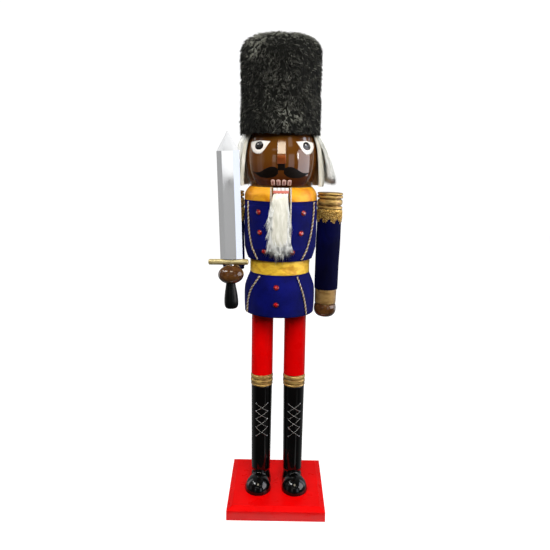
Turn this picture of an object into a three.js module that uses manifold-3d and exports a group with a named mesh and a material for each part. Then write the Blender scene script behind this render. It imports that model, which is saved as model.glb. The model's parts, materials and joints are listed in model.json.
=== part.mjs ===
// A tall turned-wood nutcracker guard on a base board, with a jaw lever, a fur hat and a sword.
// Millimetres, +Z up, -Y to the front. The origin is the centre of the base board's underside.
import * as THREE from "three";
import Module from "manifold-3d";
import { mergeVertices } from "three/addons/utils/BufferGeometryUtils.js";

const wasm = await Module();
wasm.setup();

// ---------- driving dimensions ----------
const GAP = 0.3; // space left between pieces that touch
const FINE = 32; // sides of the large turned pieces
const COARSE = 20; // sides of the small turned pieces

const BASE_SIDE = 254;
const BASE_EDGE_HEIGHT = 25.5;
const BASE_CHAMFER_WIDTH = 14;
const BASE_TOP = 33.5;

const LEG_X = 43.3; // from the middle plane to each leg's axis
const LEG_RADIUS = 28.6;
const FOOT_TOP = 75.5;
const BOOT_TOP = 318.7;
const BAND_TOP = 350;
const TOE_HALF_WIDTH = 34;
const TOE_REACH = 72; // from the leg's axis plane to the toe's front
const TOE_SPLAY = 6;

const HIP_BOTTOM = 529;
const WAIST = 648; // the joint between hip block and chest block
const BELT_BOTTOM = 631;
const BELT_TOP = 667;
const WAIST_RADIUS = 75;
const CLOTH = 2; // thickness of coat cloth and ribbon
const COLLAR_BOTTOM = 817;
const CHEST_TOP = 851;

const SKIRT_OUTLINE = [
  [90.4, 526],
  [91.5, 550],
  [90.9, 588],
  [85.2, 609],
  [78.5, 625],
  [77.5, 630.5],
];
const CHEST_WIDEST = 93.4;
const CHEST_OUTLINE = [
  [83.8, 667.5],
  [87.8, 679],
  [92.6, 697],
  [CHEST_WIDEST, 737],
  [93.2, 816.7],
];
const COLLAR_OUTLINE = [
  [93.2, COLLAR_BOTTOM],
  [92.6, 832],
  [88, 842],
  [80, CHEST_TOP],
];

const SLOT_HALF_WIDTH = 21.3; // the lever's slot, cut through the chest from front to back
const SLOT_FLOOR = 700;
const SLOT_BACK_WALL = 60; // behind this the slot is a window with a bridge over it
const LEVER_WIDTH = 41;
const JAW_FRONT = -88;
const PIVOT_Y = 10;
const PIVOT_Z = 818;
const JAW_PIN_RADIUS = 3;
const DOWEL_RADIUS = 6;

const HEAD_BOTTOM = 852;
const HEAD_TOP = 985;
const HEAD_OUTLINE = [
  [76, HEAD_BOTTOM],
  [80, 856],
  [86.2, 872],
  [90.2, 892],
  [91.7, 918],
  [90.2, 944],
  [83.6, 970],
  [79, HEAD_TOP],
];
const HAIR_BOTTOM = 854;
const HAIR_TOP = 976;
const FACE_HALF_ANGLE = 62; // degrees either side of the front that the hair leaves free

const HAT_BOTTOM = 979;
const HAT_SIDE_TOP = 1192;
const HAT_TOP = 1222;
const HAT_RADIUS = 101.5;
const HAT_CORE_RADIUS = 88;

const ARM_X = 127; // from the middle plane to each shoulder's axis
const LEFT_LEAN = 1.2; // degrees that the straight arm leans in towards the skirt
const RIGHT_LEAN = 2.2; // degrees that the bent arm leans in, its sword leaning out as much
const SHOULDER_Z = 808;
const SHOULDER_DOWEL_RADIUS = 7;
const EPAULETTE_RADIUS = 33;
const EPAULETTE_TOP = 837;
const EPAULETTE_BOTTOM = 795;
const FRINGE_BOTTOM = 757;
const ARM_CORE_RADIUS = 28.6;
const SLEEVE_RADIUS = 31.4;
const SLEEVE_BOTTOM = 585;
const CUFF_BOTTOM = 545;
const HAND_BOTTOM = 509;

const UPPER_ARM_DROP = 180; // from the shoulder's axis down to the elbow's underside
const ELBOW_DROP = 164.5; // from the shoulder's axis down to the forearm's axis
const BENT_SLEEVE = [
  [16, -UPPER_ARM_DROP],
  [26, -UPPER_ARM_DROP + 5],
  [29, -UPPER_ARM_DROP + 16],
  [29.4, -108],
  [30.6, -60],
  [30.6, EPAULETTE_BOTTOM - GAP - SHOULDER_Z],
];
const TENON_RADIUS = 8;
const FOREARM_YAW = 2.6; // degrees that the forearm turns in towards the middle
const FOREARM_RADIUS = 20;
const FOREARM_END = 88; // from the upper arm's axis, along the forearm
const CUFF_END = 98;
const FIST_REACH = 120;
const FIST_HALF_WIDTH = 31;
const FIST_HALF_DEPTH = 25;
const FIST_HALF_HEIGHT = 21;

// The sword's heights are measured from the fist's centre.
const BLADE_YAW = -8; // degrees that the blade is turned about its tang
const BLADE_START = 36;
const BLADE_LENGTH = 304;
const BLADE_SHOULDER = 46; // from the tip down to the blade's full width
const BLADE_WIDTH = 55;
const BLADE_THICKNESS = 13;
const GUARD_HEIGHT = 28.8;
const GUARD_HALF_LENGTH = 48;
const GUARD_RADIUS = 6.6;
const TANG_RADIUS = 5;
const GRIP_TOP = -21.6;
const GRIP_BOTTOM = -85;
const GRIP_SOCKET_FLOOR = -62;

// Each entry is [degrees from the front, positive towards the figure's left; height].
const CHEST_BUTTONS = [
  [-35.5, 790],
  [-33, 740],
  [-25, 693],
  [37, 789],
  [33.3, 739],
  [19, 692],
];
const SKIRT_BUTTONS = [
  [-5, 603],
  [-5, 560],
];
const PIPING_RADIUS = 1.5;
const PIPING_STAND = 2.4; // from the cloth to the cord's middle
const CHEST_PIPING = {
  left: [[61, 814], [58.5, 776], [53.8, 739], [46.5, 705], [38, 671]],
  right: [[-59, 814], [-57.5, 776], [-54.5, 739], [-47.8, 703], [-39.9, 671]],
};
const SKIRT_PIPING = {
  left: [[33.5, 627], [37.3, 596], [43.3, 561], [47.6, 529]],
  right: [[-38.8, 627], [-50.4, 593], [-58.4, 561], [-62.2, 529]],
};

const SIDES = [
  { name: "left", sign: 1 },
  { name: "right", sign: -1 },
];

// ---------- materials ----------
function surface(color, roughness, metalness = 0) {
  return new THREE.MeshStandardMaterial({ color, roughness, metalness });
}

const redGloss = surface(0xd01010, 0.2);
const blackGloss = surface(0x101012, 0.15);
const goldPaint = surface(0x9a763c, 0.4, 0.6);
const bareWood = surface(0xc9a878, 0.7);
const coatCloth = surface(0x16168a, 0.8);
const velvet = surface(0x0c0c40, 0.9);
const ribbon = surface(0xe0a028, 0.4, 0.4);
const braid = surface(0xb8ac88, 0.45, 0.5);
const gem = surface(0xc01018, 0.15);
const skinPaint = surface(0x5f3714, 0.2);
const whiteFur = surface(0xe6e2d6, 0.95);
const blackFur = surface(0x20201f, 0.95);
const steel = surface(0x8c8f94, 0.35, 1);
const bladePaint = surface(0xc4c8d2, 0.25, 0.8);
const guardGold = surface(0xb8a268, 0.35, 0.8);
const bullion = surface(0xb88c40, 0.5, 0.6);

// ---------- geometry helpers ----------
const radians = THREE.MathUtils.degToRad;

// A closed geometry as a manifold solid, without the flat triangles a lathe leaves on its axis.
function solidOf(geometry) {
  const loose = geometry.index ? geometry.toNonIndexed() : geometry;
  const bare = new THREE.BufferGeometry();
  bare.setAttribute("position", loose.getAttribute("position"));
  const merged = mergeVertices(bare, 1e-3);
  const corners = merged.index.array;
  const kept = [];
  for (let i = 0; i < corners.length; i += 3) {
    const [a, b, c] = corners.slice(i, i + 3);
    if (a !== b && b !== c && c !== a) kept.push(a, b, c);
  }
  const mesh = new wasm.Mesh({
    numProp: 3,
    vertProperties: merged.attributes.position.array,
    triVerts: new Uint32Array(kept),
  });
  return new wasm.Manifold(mesh);
}

function geometryOf(solid) {
  const mesh = solid.getMesh();
  const geometry = new THREE.BufferGeometry();
  geometry.setAttribute("position", new THREE.BufferAttribute(mesh.vertProperties, 3));
  geometry.setIndex(new THREE.BufferAttribute(mesh.triVerts, 1));
  return geometry;
}

function cut(geometry, ...tools) {
  let solid = solidOf(geometry);
  for (const tool of tools) solid = solid.subtract(solidOf(tool));
  return geometryOf(solid);
}

function join(geometry, ...others) {
  let solid = solidOf(geometry);
  for (const other of others) solid = solid.add(solidOf(other));
  return geometryOf(solid);
}

// A solid turned about the Z axis from [radius, height] points, listed upwards along its outside.
function turned(points, sides = COARSE) {
  const profile = points.map(([r, z]) => new THREE.Vector2(r, z));
  return new THREE.LatheGeometry(profile, sides).rotateX(Math.PI / 2);
}

// The same, closed to the axis at both ends.
function turnedSolid(outline, sides) {
  const low = outline[0][1];
  const high = outline[outline.length - 1][1];
  return turned([[0, low], ...outline, [0, high]], sides);
}

// A ring-shaped skin of even thickness inside an outline.
function turnedShell(outline, thickness, sides) {
  const inside = outline.map(([r, z]) => [r - thickness, z]).reverse();
  return turned([...outline, ...inside, outline[0]], sides);
}

function rod(radius, low, high, sides = 16) {
  return turnedSolid([[radius, low], [radius, high]], sides);
}

function box(low, high) {
  const size = high.map((value, i) => value - low[i]);
  const middle = high.map((value, i) => (value + low[i]) / 2);
  return new THREE.BoxGeometry(...size).translate(...middle);
}

// A side outline of [y, z] points, given its width along X.
function sideCut(points, width) {
  const shape = new THREE.Shape(points.map(([y, z]) => new THREE.Vector2(y, z)));
  const block = new THREE.ExtrudeGeometry(shape, { depth: width, bevelEnabled: false });
  // The shape's x runs along Y, its y along Z, and the extrusion along X.
  const axes = new THREE.Matrix4().set(0, 0, 1, -width / 2, 1, 0, 0, 0, 0, 1, 0, 0, 0, 0, 0, 1);
  return block.applyMatrix4(axes);
}

function radiusAt(outline, z) {
  const next = Math.max(1, outline.findIndex(([, height]) => height >= z));
  const [lowRadius, lowZ] = outline[next - 1];
  const [highRadius, highZ] = outline[next];
  return THREE.MathUtils.mapLinear(z, lowZ, highZ, lowRadius, highRadius);
}

function inset(outline, distance) {
  return outline.map(([r, z]) => [r - distance, z]);
}

// Room for a piece turned from an outline, with both ends lengthened by what is given.
function roomFor(outline, lowExtra, highExtra) {
  const last = outline.length - 1;
  const grown = inset(outline, -GAP).map(([r, z], i) => {
    if (i === 0) return [r, z - lowExtra];
    return [r, i === last ? z + highExtra : z - GAP];
  });
  return turnedSolid(grown, COARSE);
}

// A point off a turned outline, at degrees from the front and a height.
function pointOn(outline, degrees, z, stand) {
  const r = radiusAt(outline, z) + stand;
  const angle = radians(degrees);
  return new THREE.Vector3(r * Math.sin(angle), -r * Math.cos(angle), z);
}

function cordAlong(points, radius, steps) {
  const section = new THREE.Shape();
  section.absarc(0, 0, radius, 0, 2 * Math.PI);
  const path = new THREE.CatmullRomCurve3(points);
  return new THREE.ExtrudeGeometry(section, { steps, curveSegments: 3, extrudePath: path });
}

const figure = new THREE.Group();

function add(name, geometry, material, parent = figure) {
  const shape = geometryOf(solidOf(geometry));
  shape.computeVertexNormals();
  const mesh = new THREE.Mesh(shape, material);
  mesh.name = name;
  parent.add(mesh);
  return mesh;
}

// ---------- base and legs ----------
const SCREW_SHANK_RADIUS = 3;
const SCREW_HEAD_RADIUS = 6;
const SCREW_HEAD_DEPTH = 5;
const SCREW_TOP = 62;

function baseScrew(clearance) {
  const shank = SCREW_SHANK_RADIUS + clearance;
  const head = SCREW_HEAD_RADIUS + clearance;
  return turnedSolid(
    [[head, 1 - clearance], [head, 2], [shank, 2 + SCREW_HEAD_DEPTH], [shank, SCREW_TOP + clearance]],
    12,
  );
}

function baseBoard() {
  const half = BASE_SIDE / 2;
  const inner = half - BASE_CHAMFER_WIDTH;
  const root2 = Math.SQRT2; // a four-sided turned solid's radius reaches its corners
  const board = turnedSolid(
    [[half * root2, 0], [half * root2, BASE_EDGE_HEIGHT], [inner * root2, BASE_TOP]],
    4,
  ).rotateZ(Math.PI / 4);
  const holes = SIDES.map(({ sign }) => {
    const countersink = rod(SCREW_HEAD_RADIUS + GAP, -1, 2, 12);
    return join(baseScrew(GAP), countersink).translate(sign * LEG_X, 0, 0);
  });
  return cut(board, ...holes);
}

function foot(sign) {
  const reach = 38;
  const toe = new THREE.SphereGeometry(1, COARSE, 12)
    .rotateX(Math.PI / 2)
    .scale(TOE_HALF_WIDTH, reach, FOOT_TOP - BASE_TOP - 1)
    .translate(sign * TOE_SPLAY, reach - TOE_REACH, BASE_TOP + GAP);
  const heel = turnedSolid([[28, BASE_TOP - 10], [28, 50], [25.8, 62], [25.8, FOOT_TOP]], COARSE);
  const belowBase = box([-100, -100, -100], [100, 100, BASE_TOP + GAP]);
  const whole = cut(join(toe, heel), belowBase);
  return cut(whole, baseScrew(GAP)).translate(sign * LEG_X, 0, 0);
}

function bootBand() {
  const low = BOOT_TOP + GAP;
  return turnedSolid(
    [
      [27.5, low],
      [29.4, low + 2.5],
      [27.8, low + 6.5],
      [29.8, low + 11],
      [29.8, low + 19],
      [28.2, low + 23],
      [30, low + 27],
      [28.8, BAND_TOP],
    ],
    COARSE,
  );
}

function buildLegs() {
  add("base_board", baseBoard(), redGloss);
  for (const { name, sign } of SIDES) {
    const leg = new THREE.Group();
    leg.position.x = sign * LEG_X;
    figure.add(leg);
    add(`base_screw_${name}`, baseScrew(0), steel, leg);
    add(`${name}_foot`, foot(sign), blackGloss);
    add(
      `${name}_boot`,
      turnedSolid([[25.6, FOOT_TOP + GAP], [26, 120], [27.7, 294], [27.9, BOOT_TOP]], COARSE),
      blackGloss,
      leg,
    );
    add(`${name}_boot_band`, bootBand(), goldPaint, leg);
    add(`${name}_leg`, rod(LEG_RADIUS, BAND_TOP + GAP, HIP_BOTTOM - GAP, COARSE), redGloss, leg);
  }
}

// ---------- hips, skirt and belt ----------
const WAIST_DOWEL = { radius: 12, low: 608, high: 688 };

function hipBlock() {
  const wood = inset(SKIRT_OUTLINE, CLOTH + GAP);
  const block = turnedSolid(
    [
      [radiusAt(wood, HIP_BOTTOM), HIP_BOTTOM],
      ...wood.slice(1),
      [WAIST_RADIUS, BELT_BOTTOM],
      [WAIST_RADIUS, WAIST],
    ],
    FINE,
  );
  return cut(block, rod(WAIST_DOWEL.radius + GAP, WAIST_DOWEL.low, WAIST + 10));
}

// A faceted stone standing square on the cloth, whose slope it follows.
function button(outline, [degrees, z]) {
  const stone = turnedSolid([[6.6, 0], [6.6, 1.5], [4, 4.2]], 8);
  const slope = (radiusAt(outline, z + 2) - radiusAt(outline, z - 2)) / 4;
  const place = pointOn(outline, degrees, z, 0.7);
  return stone
    .rotateX(Math.PI / 2 + Math.atan(slope))
    .rotateZ(radians(degrees))
    .translate(place.x, place.y, place.z);
}

// A cord laid on the cloth through [degrees, height] places.
function piping(outline, places) {
  const route = new THREE.SplineCurve(places.map(([degrees, z]) => new THREE.Vector2(degrees, z)));
  const points = route.getPoints(10).map((spot) => pointOn(outline, spot.x, spot.y, PIPING_STAND));
  return cordAlong(points, PIPING_RADIUS, 14);
}

function buildHips() {
  add("hip_block", hipBlock(), bareWood);
  add("coat_skirt", turnedShell(SKIRT_OUTLINE, CLOTH, FINE), coatCloth);
  const beltOutline = [[77.3, BELT_BOTTOM], [77.3, BELT_TOP]];
  add("belt", turnedShell(beltOutline, CLOTH, FINE), ribbon);
  add("waist_dowel", rod(WAIST_DOWEL.radius, WAIST_DOWEL.low + 1, WAIST_DOWEL.high - 1), bareWood);
  SKIRT_BUTTONS.forEach((place, i) => {
    add(`skirt_button_${i + 1}`, button(SKIRT_OUTLINE, place), gem);
  });
  for (const { name } of SIDES) {
    add(`skirt_piping_${name}`, piping(SKIRT_OUTLINE, SKIRT_PIPING[name]), braid);
  }
}

// ---------- chest ----------
const NECK_DOWEL = { x: 50, y: 40, low: 818, high: 884 };
const SHOULDER_DOWEL_INNER = 58;
const SHOULDER_DOWEL_OUTER = 119;
const JAW_PIN_HALF_LENGTH = 82;

function alongX(geometry) {
  return geometry.rotateY(Math.PI / 2);
}

function shoulderDowel(sign, clearance) {
  const inner = SHOULDER_DOWEL_INNER - clearance;
  const outer = SHOULDER_DOWEL_OUTER + clearance;
  const dowel = rod(SHOULDER_DOWEL_RADIUS + clearance, inner, outer);
  return alongX(dowel).scale(sign, sign, 1).translate(0, 0, SHOULDER_Z);
}

function jawPin(clearance) {
  const half = JAW_PIN_HALF_LENGTH + clearance;
  return alongX(rod(JAW_PIN_RADIUS + clearance, -half, half, 12)).translate(0, PIVOT_Y, PIVOT_Z);
}

function neckDowel(sign, clearance) {
  const dowel = rod(DOWEL_RADIUS + clearance, NECK_DOWEL.low - clearance, NECK_DOWEL.high + clearance);
  return dowel.translate(sign * NECK_DOWEL.x, NECK_DOWEL.y, 0);
}

// The space the lever needs: open to the top in front, a window below the collar at the back.
function slotTools() {
  const front = box([-SLOT_HALF_WIDTH, -120, SLOT_FLOOR], [SLOT_HALF_WIDTH, SLOT_BACK_WALL, CHEST_TOP + 10]);
  const window = box(
    [-SLOT_HALF_WIDTH, SLOT_BACK_WALL - 5, SLOT_FLOOR],
    [SLOT_HALF_WIDTH, 120, COLLAR_BOTTOM - 1],
  );
  return [front, window];
}

function chestBlock() {
  const wood = inset([...CHEST_OUTLINE, ...COLLAR_OUTLINE.slice(1)], CLOTH + GAP);
  const block = turnedSolid([[WAIST_RADIUS, WAIST + GAP], [WAIST_RADIUS, BELT_TOP], ...wood], FINE);
  const dowelHole = rod(WAIST_DOWEL.radius + GAP, WAIST - 10, WAIST_DOWEL.high);
  const sideHoles = SIDES.flatMap(({ sign }) => [shoulderDowel(sign, GAP), neckDowel(sign, GAP)]);
  return cut(block, ...slotTools(), dowelHole, jawPin(GAP), ...sideHoles);
}

function coatChest() {
  const coat = turnedShell(CHEST_OUTLINE, CLOTH, FINE);
  return cut(coat, ...slotTools(), ...SIDES.map(({ sign }) => shoulderDowel(sign, GAP)));
}

function collar() {
  return cut(turnedShell(COLLAR_OUTLINE, CLOTH, FINE), slotTools()[0]);
}

// The braid down both edges of the slot and round under its floor.
function slotPiping() {
  const edge = 24;
  const at = (x, z) => {
    const r = radiusAt(CHEST_OUTLINE, z) + PIPING_STAND;
    return new THREE.Vector3(x, -Math.sqrt(r * r - x * x), z);
  };
  const corner = SLOT_FLOOR + 4;
  const points = [
    at(-edge, 815),
    at(-edge, 778),
    at(-edge, 740),
    at(-edge, corner + 4),
    at(-edge + 5, corner - 5),
    at(0, corner - 9),
    at(edge - 5, corner - 5),
    at(edge, corner + 4),
    at(edge, 740),
    at(edge, 778),
    at(edge, 815),
  ];
  return cordAlong(points, PIPING_RADIUS, 32);
}

function buildChest() {
  add("chest_block", chestBlock(), bareWood);
  add("coat_chest", coatChest(), coatCloth);
  add("collar", collar(), ribbon);
  add("slot_piping", slotPiping(), braid);
  add("jaw_pin", jawPin(0), steel);
  CHEST_BUTTONS.forEach((place, i) => {
    add(`chest_button_${i + 1}`, button(CHEST_OUTLINE, place), gem);
  });
  for (const { name, sign } of SIDES) {
    add(`chest_piping_${name}`, piping(CHEST_OUTLINE, CHEST_PIPING[name]), braid);
    add(`neck_dowel_${name}`, neckDowel(sign, 0), bareWood);
    add(`${name}_shoulder_dowel`, shoulderDowel(sign, 0), bareWood);
  }
}

// ---------- jaw lever and beard ----------
// One board seen from the side: jaw with a nut hollow in front, an arm over the pin, a handle down the back.
function jawLever() {
  const jawTop = CHEST_TOP - 0.5;
  const nutFloor = jawTop - 12;
  const board = sideCut(
    [
      [JAW_FRONT, 804],
      [JAW_FRONT, jawTop],
      [-74, jawTop],
      [-70, nutFloor],
      [-38, nutFloor],
      [-34, jawTop],
      [-8, jawTop],
      [30, 822],
      [50, 797],
      [84, 783],
      [104, 779],
      [119, 768],
      [124, 740],
      [131, 572],
      [128, 562],
      [119, 558],
      [110, 562],
      [106, 572],
      [98, 732],
      [84, 738],
      [40, 776],
      [-30, 788],
      [-80, 796],
    ],
    LEVER_WIDTH,
  );
  const pinHole = alongX(rod(JAW_PIN_RADIUS + GAP, -30, 30, 12)).translate(0, PIVOT_Y, PIVOT_Z);
  return cut(board, pinHole);
}

// Glued fur with a rounded root at the jaw's lip. It hangs from the root's top edge.
function beard() {
  const back = -97.5;
  const root = sideCut(
    [
      [JAW_FRONT - GAP, 812],
      [-106, 806],
      [-107, 828],
      [-101, 840],
      [JAW_FRONT - GAP, 843],
    ],
    38,
  );
  const fall = sideCut(
    [
      [back, 690],
      [-102, 672],
      [-107, 672],
      [-112, 690],
      [-114, 770],
      [-109, 822],
      [back, 822],
    ],
    52,
  );
  return join(root, fall);
}

// ---------- head and hat ----------
function headBlock() {
  return cut(turnedSolid(HEAD_OUTLINE, FINE), ...SIDES.map(({ sign }) => neckDowel(sign, GAP)));
}

function nose() {
  const wedge = sideCut(
    [
      [-70, 906],
      [-94, 908],
      [-106, 924],
      [-105, 930],
      [-86, 969],
      [-70, 972],
    ],
    21,
  );
  return cut(wedge, turnedSolid(inset(HEAD_OUTLINE, -GAP), FINE));
}

// A thick C round the sides and back of the head, widest where it ends above the shoulders.
function hair() {
  const inside = inset(HEAD_OUTLINE, -GAP);
  const innerHeights = [HAIR_BOTTOM, 856, 872, 892, 918, 944, 970, HAIR_TOP];
  const innerWall = innerHeights.map((z) => [radiusAt(inside, z), z]).reverse();
  const outerWall = [[110, HAIR_BOTTOM], [116, 858], [111, 890], [107, 940], [100, HAIR_TOP]];
  const ring = turned([...outerWall, ...innerWall, outerWall[0]], FINE);
  const reach = 400;
  const x = reach * Math.sin(radians(FACE_HALF_ANGLE));
  const y = -reach * Math.cos(radians(FACE_HALF_ANGLE));
  const face = new THREE.Shape([new THREE.Vector2(0, 0), new THREE.Vector2(-x, y), new THREE.Vector2(x, y)]);
  const opening = new THREE.ExtrudeGeometry(face, { depth: 200, bevelEnabled: false }).translate(0, 0, 820);
  return cut(ring, opening);
}

function hatFur() {
  const inner = HAT_CORE_RADIUS + GAP;
  return turned(
    [
      [inner, HAT_BOTTOM],
      [HAT_RADIUS - 1, HAT_BOTTOM],
      [HAT_RADIUS, HAT_BOTTOM + 12],
      [HAT_RADIUS, HAT_SIDE_TOP],
      [HAT_RADIUS - 5, HAT_SIDE_TOP + 12],
      [HAT_RADIUS - 25, HAT_TOP - 8],
      [HAT_RADIUS - 60, HAT_TOP - 1.5],
      [0, HAT_TOP],
      [0, HAT_SIDE_TOP + GAP],
      [inner, HAT_SIDE_TOP + GAP],
      [inner, HAT_BOTTOM],
    ],
    FINE,
  );
}

function buildHead() {
  add("jaw_lever", jawLever(), skinPaint);
  add("beard", beard(), whiteFur);
  add("head_block", headBlock(), skinPaint);
  add("nose", nose(), skinPaint);
  add("hair", hair(), whiteFur);
  add("hat_block", rod(HAT_CORE_RADIUS, HEAD_TOP + GAP, HAT_SIDE_TOP, FINE), bareWood);
  add("hat_fur", hatFur(), blackFur);
}

// ---------- arms: each is built down from its shoulder's axis, at the group's origin ----------
function below(outline) {
  return outline.map(([r, z]) => [r, z - SHOULDER_Z]);
}

// The shoulder's turned knob, bored for the dowel and flattened where it passes the chest.
function epaulette(sign) {
  const r = EPAULETTE_RADIUS;
  const knob = turnedSolid(
    below([
      [r - 4, EPAULETTE_BOTTOM],
      [r, EPAULETTE_BOTTOM + 2],
      [r, EPAULETTE_BOTTOM + 8],
      [r - 4, EPAULETTE_BOTTOM + 11],
      [r - 1, EPAULETTE_BOTTOM + 16],
      [r - 1, EPAULETTE_BOTTOM + 24],
      [r - 4, EPAULETTE_BOTTOM + 28],
      [r, EPAULETTE_BOTTOM + 31],
      [r, EPAULETTE_TOP - 3],
      [r - 3, EPAULETTE_TOP],
    ]),
    COARSE,
  );
  return cut(knob, inArmFrame(shoulderDowel(sign, GAP), sign), chestSide(sign));
}

function fringe(sign) {
  const outline = below([[EPAULETTE_RADIUS, FRINGE_BOTTOM], [EPAULETTE_RADIUS, EPAULETTE_BOTTOM - GAP]]);
  const ring = turnedShell(outline, EPAULETTE_RADIUS - SLEEVE_RADIUS - GAP, COARSE);
  return cut(ring, chestSide(sign));
}

// How far each arm is turned about the shoulder's front-to-back line, in radians.
function leanOf(sign) {
  return radians(sign > 0 ? LEFT_LEAN : -RIGHT_LEAN);
}

function armGroup(sign) {
  const arm = new THREE.Group();
  arm.position.set(sign * ARM_X, 0, SHOULDER_Z);
  arm.rotation.y = leanOf(sign);
  figure.add(arm);
  return arm;
}

// Moves a cutting tool from the figure's frame into the arm's group.
function inArmFrame(tool, sign) {
  return tool.translate(-sign * ARM_X, 0, -SHOULDER_Z).rotateY(-leanOf(sign));
}

// What lies inside the plane that the chest's widest point reaches, seen from the arm's group.
function chestSide(sign) {
  const plane = CHEST_WIDEST + 0.5;
  const block = sign > 0 ? box([0, -80, 500], [plane, 80, 900]) : box([-plane, -80, 500], [0, 80, 900]);
  return inArmFrame(block, sign);
}

function buildLeftArm() {
  const arm = armGroup(1);
  const core = below([[ARM_CORE_RADIUS - 2, SLEEVE_BOTTOM + GAP], [ARM_CORE_RADIUS, EPAULETTE_BOTTOM - GAP]]);
  const sleeve = below([
    [SLEEVE_RADIUS - 1.2, SLEEVE_BOTTOM + GAP],
    [SLEEVE_RADIUS, 700],
    [SLEEVE_RADIUS, EPAULETTE_BOTTOM - GAP],
  ]);
  const cuff = below([
    [26, CUFF_BOTTOM],
    [27.6, CUFF_BOTTOM + 2],
    [28.4, SLEEVE_BOTTOM - 2],
    [27.6, SLEEVE_BOTTOM],
  ]);
  const hand = below([
    [10, HAND_BOTTOM],
    [21, HAND_BOTTOM + 4],
    [27.6, HAND_BOTTOM + 13],
    [29, HAND_BOTTOM + 24],
    [27.6, HAND_BOTTOM + 33],
    [25, CUFF_BOTTOM - GAP],
  ]);
  add("left_arm", turnedSolid(core, COARSE), bareWood, arm);
  add("left_sleeve", cut(turnedSolid(sleeve, COARSE), roomFor(core, 5, 5)), velvet, arm);
  add("left_epaulette", epaulette(1), goldPaint, arm);
  add("left_epaulette_fringe", fringe(1), bullion, arm);
  add("left_cuff", turnedSolid(cuff, COARSE), goldPaint, arm);
  add("left_hand", turnedSolid(hand, COARSE), skinPaint, arm);
}

// ---------- the bent arm, its group leaning in from the shoulder ----------
// Lays a piece turned about +Z along the forearm, its top towards the fist.
function layOnForearm(geometry) {
  return geometry.rotateX(Math.PI / 2).rotateZ(radians(FOREARM_YAW)).translate(0, 0, -ELBOW_DROP);
}

function buildUpperArm(arm) {
  const bottom = -UPPER_ARM_DROP;
  const top = EPAULETTE_BOTTOM - GAP - SHOULDER_Z;
  const core = [[13, bottom + 3], [24, bottom + 8], [26.5, bottom + 18], [26.5, top]];
  const tenonRoom = layOnForearm(rod(TENON_RADIUS + GAP, -GAP, 60));
  add("right_upper_arm", cut(turnedSolid(core, COARSE), tenonRoom), bareWood, arm);
  const sleeve = turnedSolid(BENT_SLEEVE, COARSE);
  const sleeveCuts = [roomFor(core, GAP, 5), tenonRoom, chestSide(-1)];
  add("right_upper_sleeve", cut(sleeve, ...sleeveCuts), velvet, arm);
  add("right_epaulette", epaulette(-1), goldPaint, arm);
  add("right_epaulette_fringe", fringe(-1), bullion, arm);
}

function buildForearm(arm) {
  const elbow = roomFor(BENT_SLEEVE, GAP, 5);
  const core = layOnForearm(rod(FOREARM_RADIUS - CLOTH - GAP, 12, FOREARM_END, COARSE));
  const tenon = layOnForearm(rod(TENON_RADIUS, 0, 60));
  add("right_forearm", join(cut(core, elbow), tenon), bareWood, arm);
  const sleeve = turnedShell([[FOREARM_RADIUS + 1, 12], [FOREARM_RADIUS, FOREARM_END]], CLOTH, COARSE);
  add("right_forearm_sleeve", cut(layOnForearm(sleeve), elbow), velvet, arm);
  const cuff = turnedSolid(
    [
      [20, FOREARM_END + GAP],
      [22.5, FOREARM_END + 2],
      [22.5, FOREARM_END + 6],
      [19, CUFF_END],
    ],
    COARSE,
  );
  add("right_cuff", layOnForearm(cuff), goldPaint, arm);
}

function fist() {
  const ball = new THREE.SphereGeometry(1, COARSE, 14)
    .scale(FIST_HALF_WIDTH, FIST_HALF_DEPTH, FIST_HALF_HEIGHT)
    .translate(0, -FIST_REACH, 0);
  const behindCuff = box([-50, -CUFF_END - GAP, -50], [50, 0, 50]);
  const tangHole = rod(TANG_RADIUS + GAP, -50, 50).translate(0, -FIST_REACH, 0);
  return cut(ball, behindCuff, tangHole).rotateZ(radians(FOREARM_YAW)).translate(0, 0, -ELBOW_DROP);
}

function buildRightArm() {
  const arm = armGroup(-1);
  buildUpperArm(arm);
  buildForearm(arm);
  add("right_hand", fist(), skinPaint, arm);
  buildSword(arm);
}

// ---------- sword: its tang passes down through guard and fist into the grip ----------
function blade() {
  const full = BLADE_LENGTH - BLADE_SHOULDER;
  const flat = turnedSolid([[1, 0], [1, full], [0.02, BLADE_LENGTH]], 6)
    .rotateZ(Math.PI / 6)
    .scale(BLADE_WIDTH / 2, BLADE_THICKNESS / Math.sqrt(3), 1)
    .translate(0, 0, BLADE_START);
  return join(flat, rod(TANG_RADIUS, GRIP_SOCKET_FLOOR, BLADE_START + 5));
}

function guard() {
  const r = GUARD_RADIUS;
  const half = GUARD_HALF_LENGTH;
  const bar = turnedSolid([[r - 2, -half], [r, -half + 2], [r, half - 2], [r - 2, half]], 16);
  const tangHole = rod(TANG_RADIUS + GAP, -20, 20);
  return cut(alongX(bar), tangHole).translate(0, 0, GUARD_HEIGHT);
}

function grip() {
  const handle = turnedSolid(
    [
      [9.5, GRIP_BOTTOM],
      [15, GRIP_BOTTOM + 4],
      [17, GRIP_BOTTOM + 14],
      [16.3, GRIP_BOTTOM + 28],
      [11, GRIP_TOP],
    ],
    COARSE,
  );
  return cut(handle, rod(TANG_RADIUS + GAP, GRIP_SOCKET_FLOOR - GAP, 0));
}

function buildSword(arm) {
  const sword = new THREE.Group();
  const yaw = radians(FOREARM_YAW);
  sword.position.set(FIST_REACH * Math.sin(yaw), -FIST_REACH * Math.cos(yaw), -ELBOW_DROP);
  sword.rotation.z = radians(BLADE_YAW);
  arm.add(sword);
  add("sword_blade", blade(), bladePaint, sword);
  add("sword_guard", guard(), guardGold, sword);
  add("sword_grip", grip(), blackGloss, sword);
}

buildLegs();
buildHips();
buildChest();
buildHead();
buildLeftArm();
buildRightArm();

export default figure;
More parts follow.
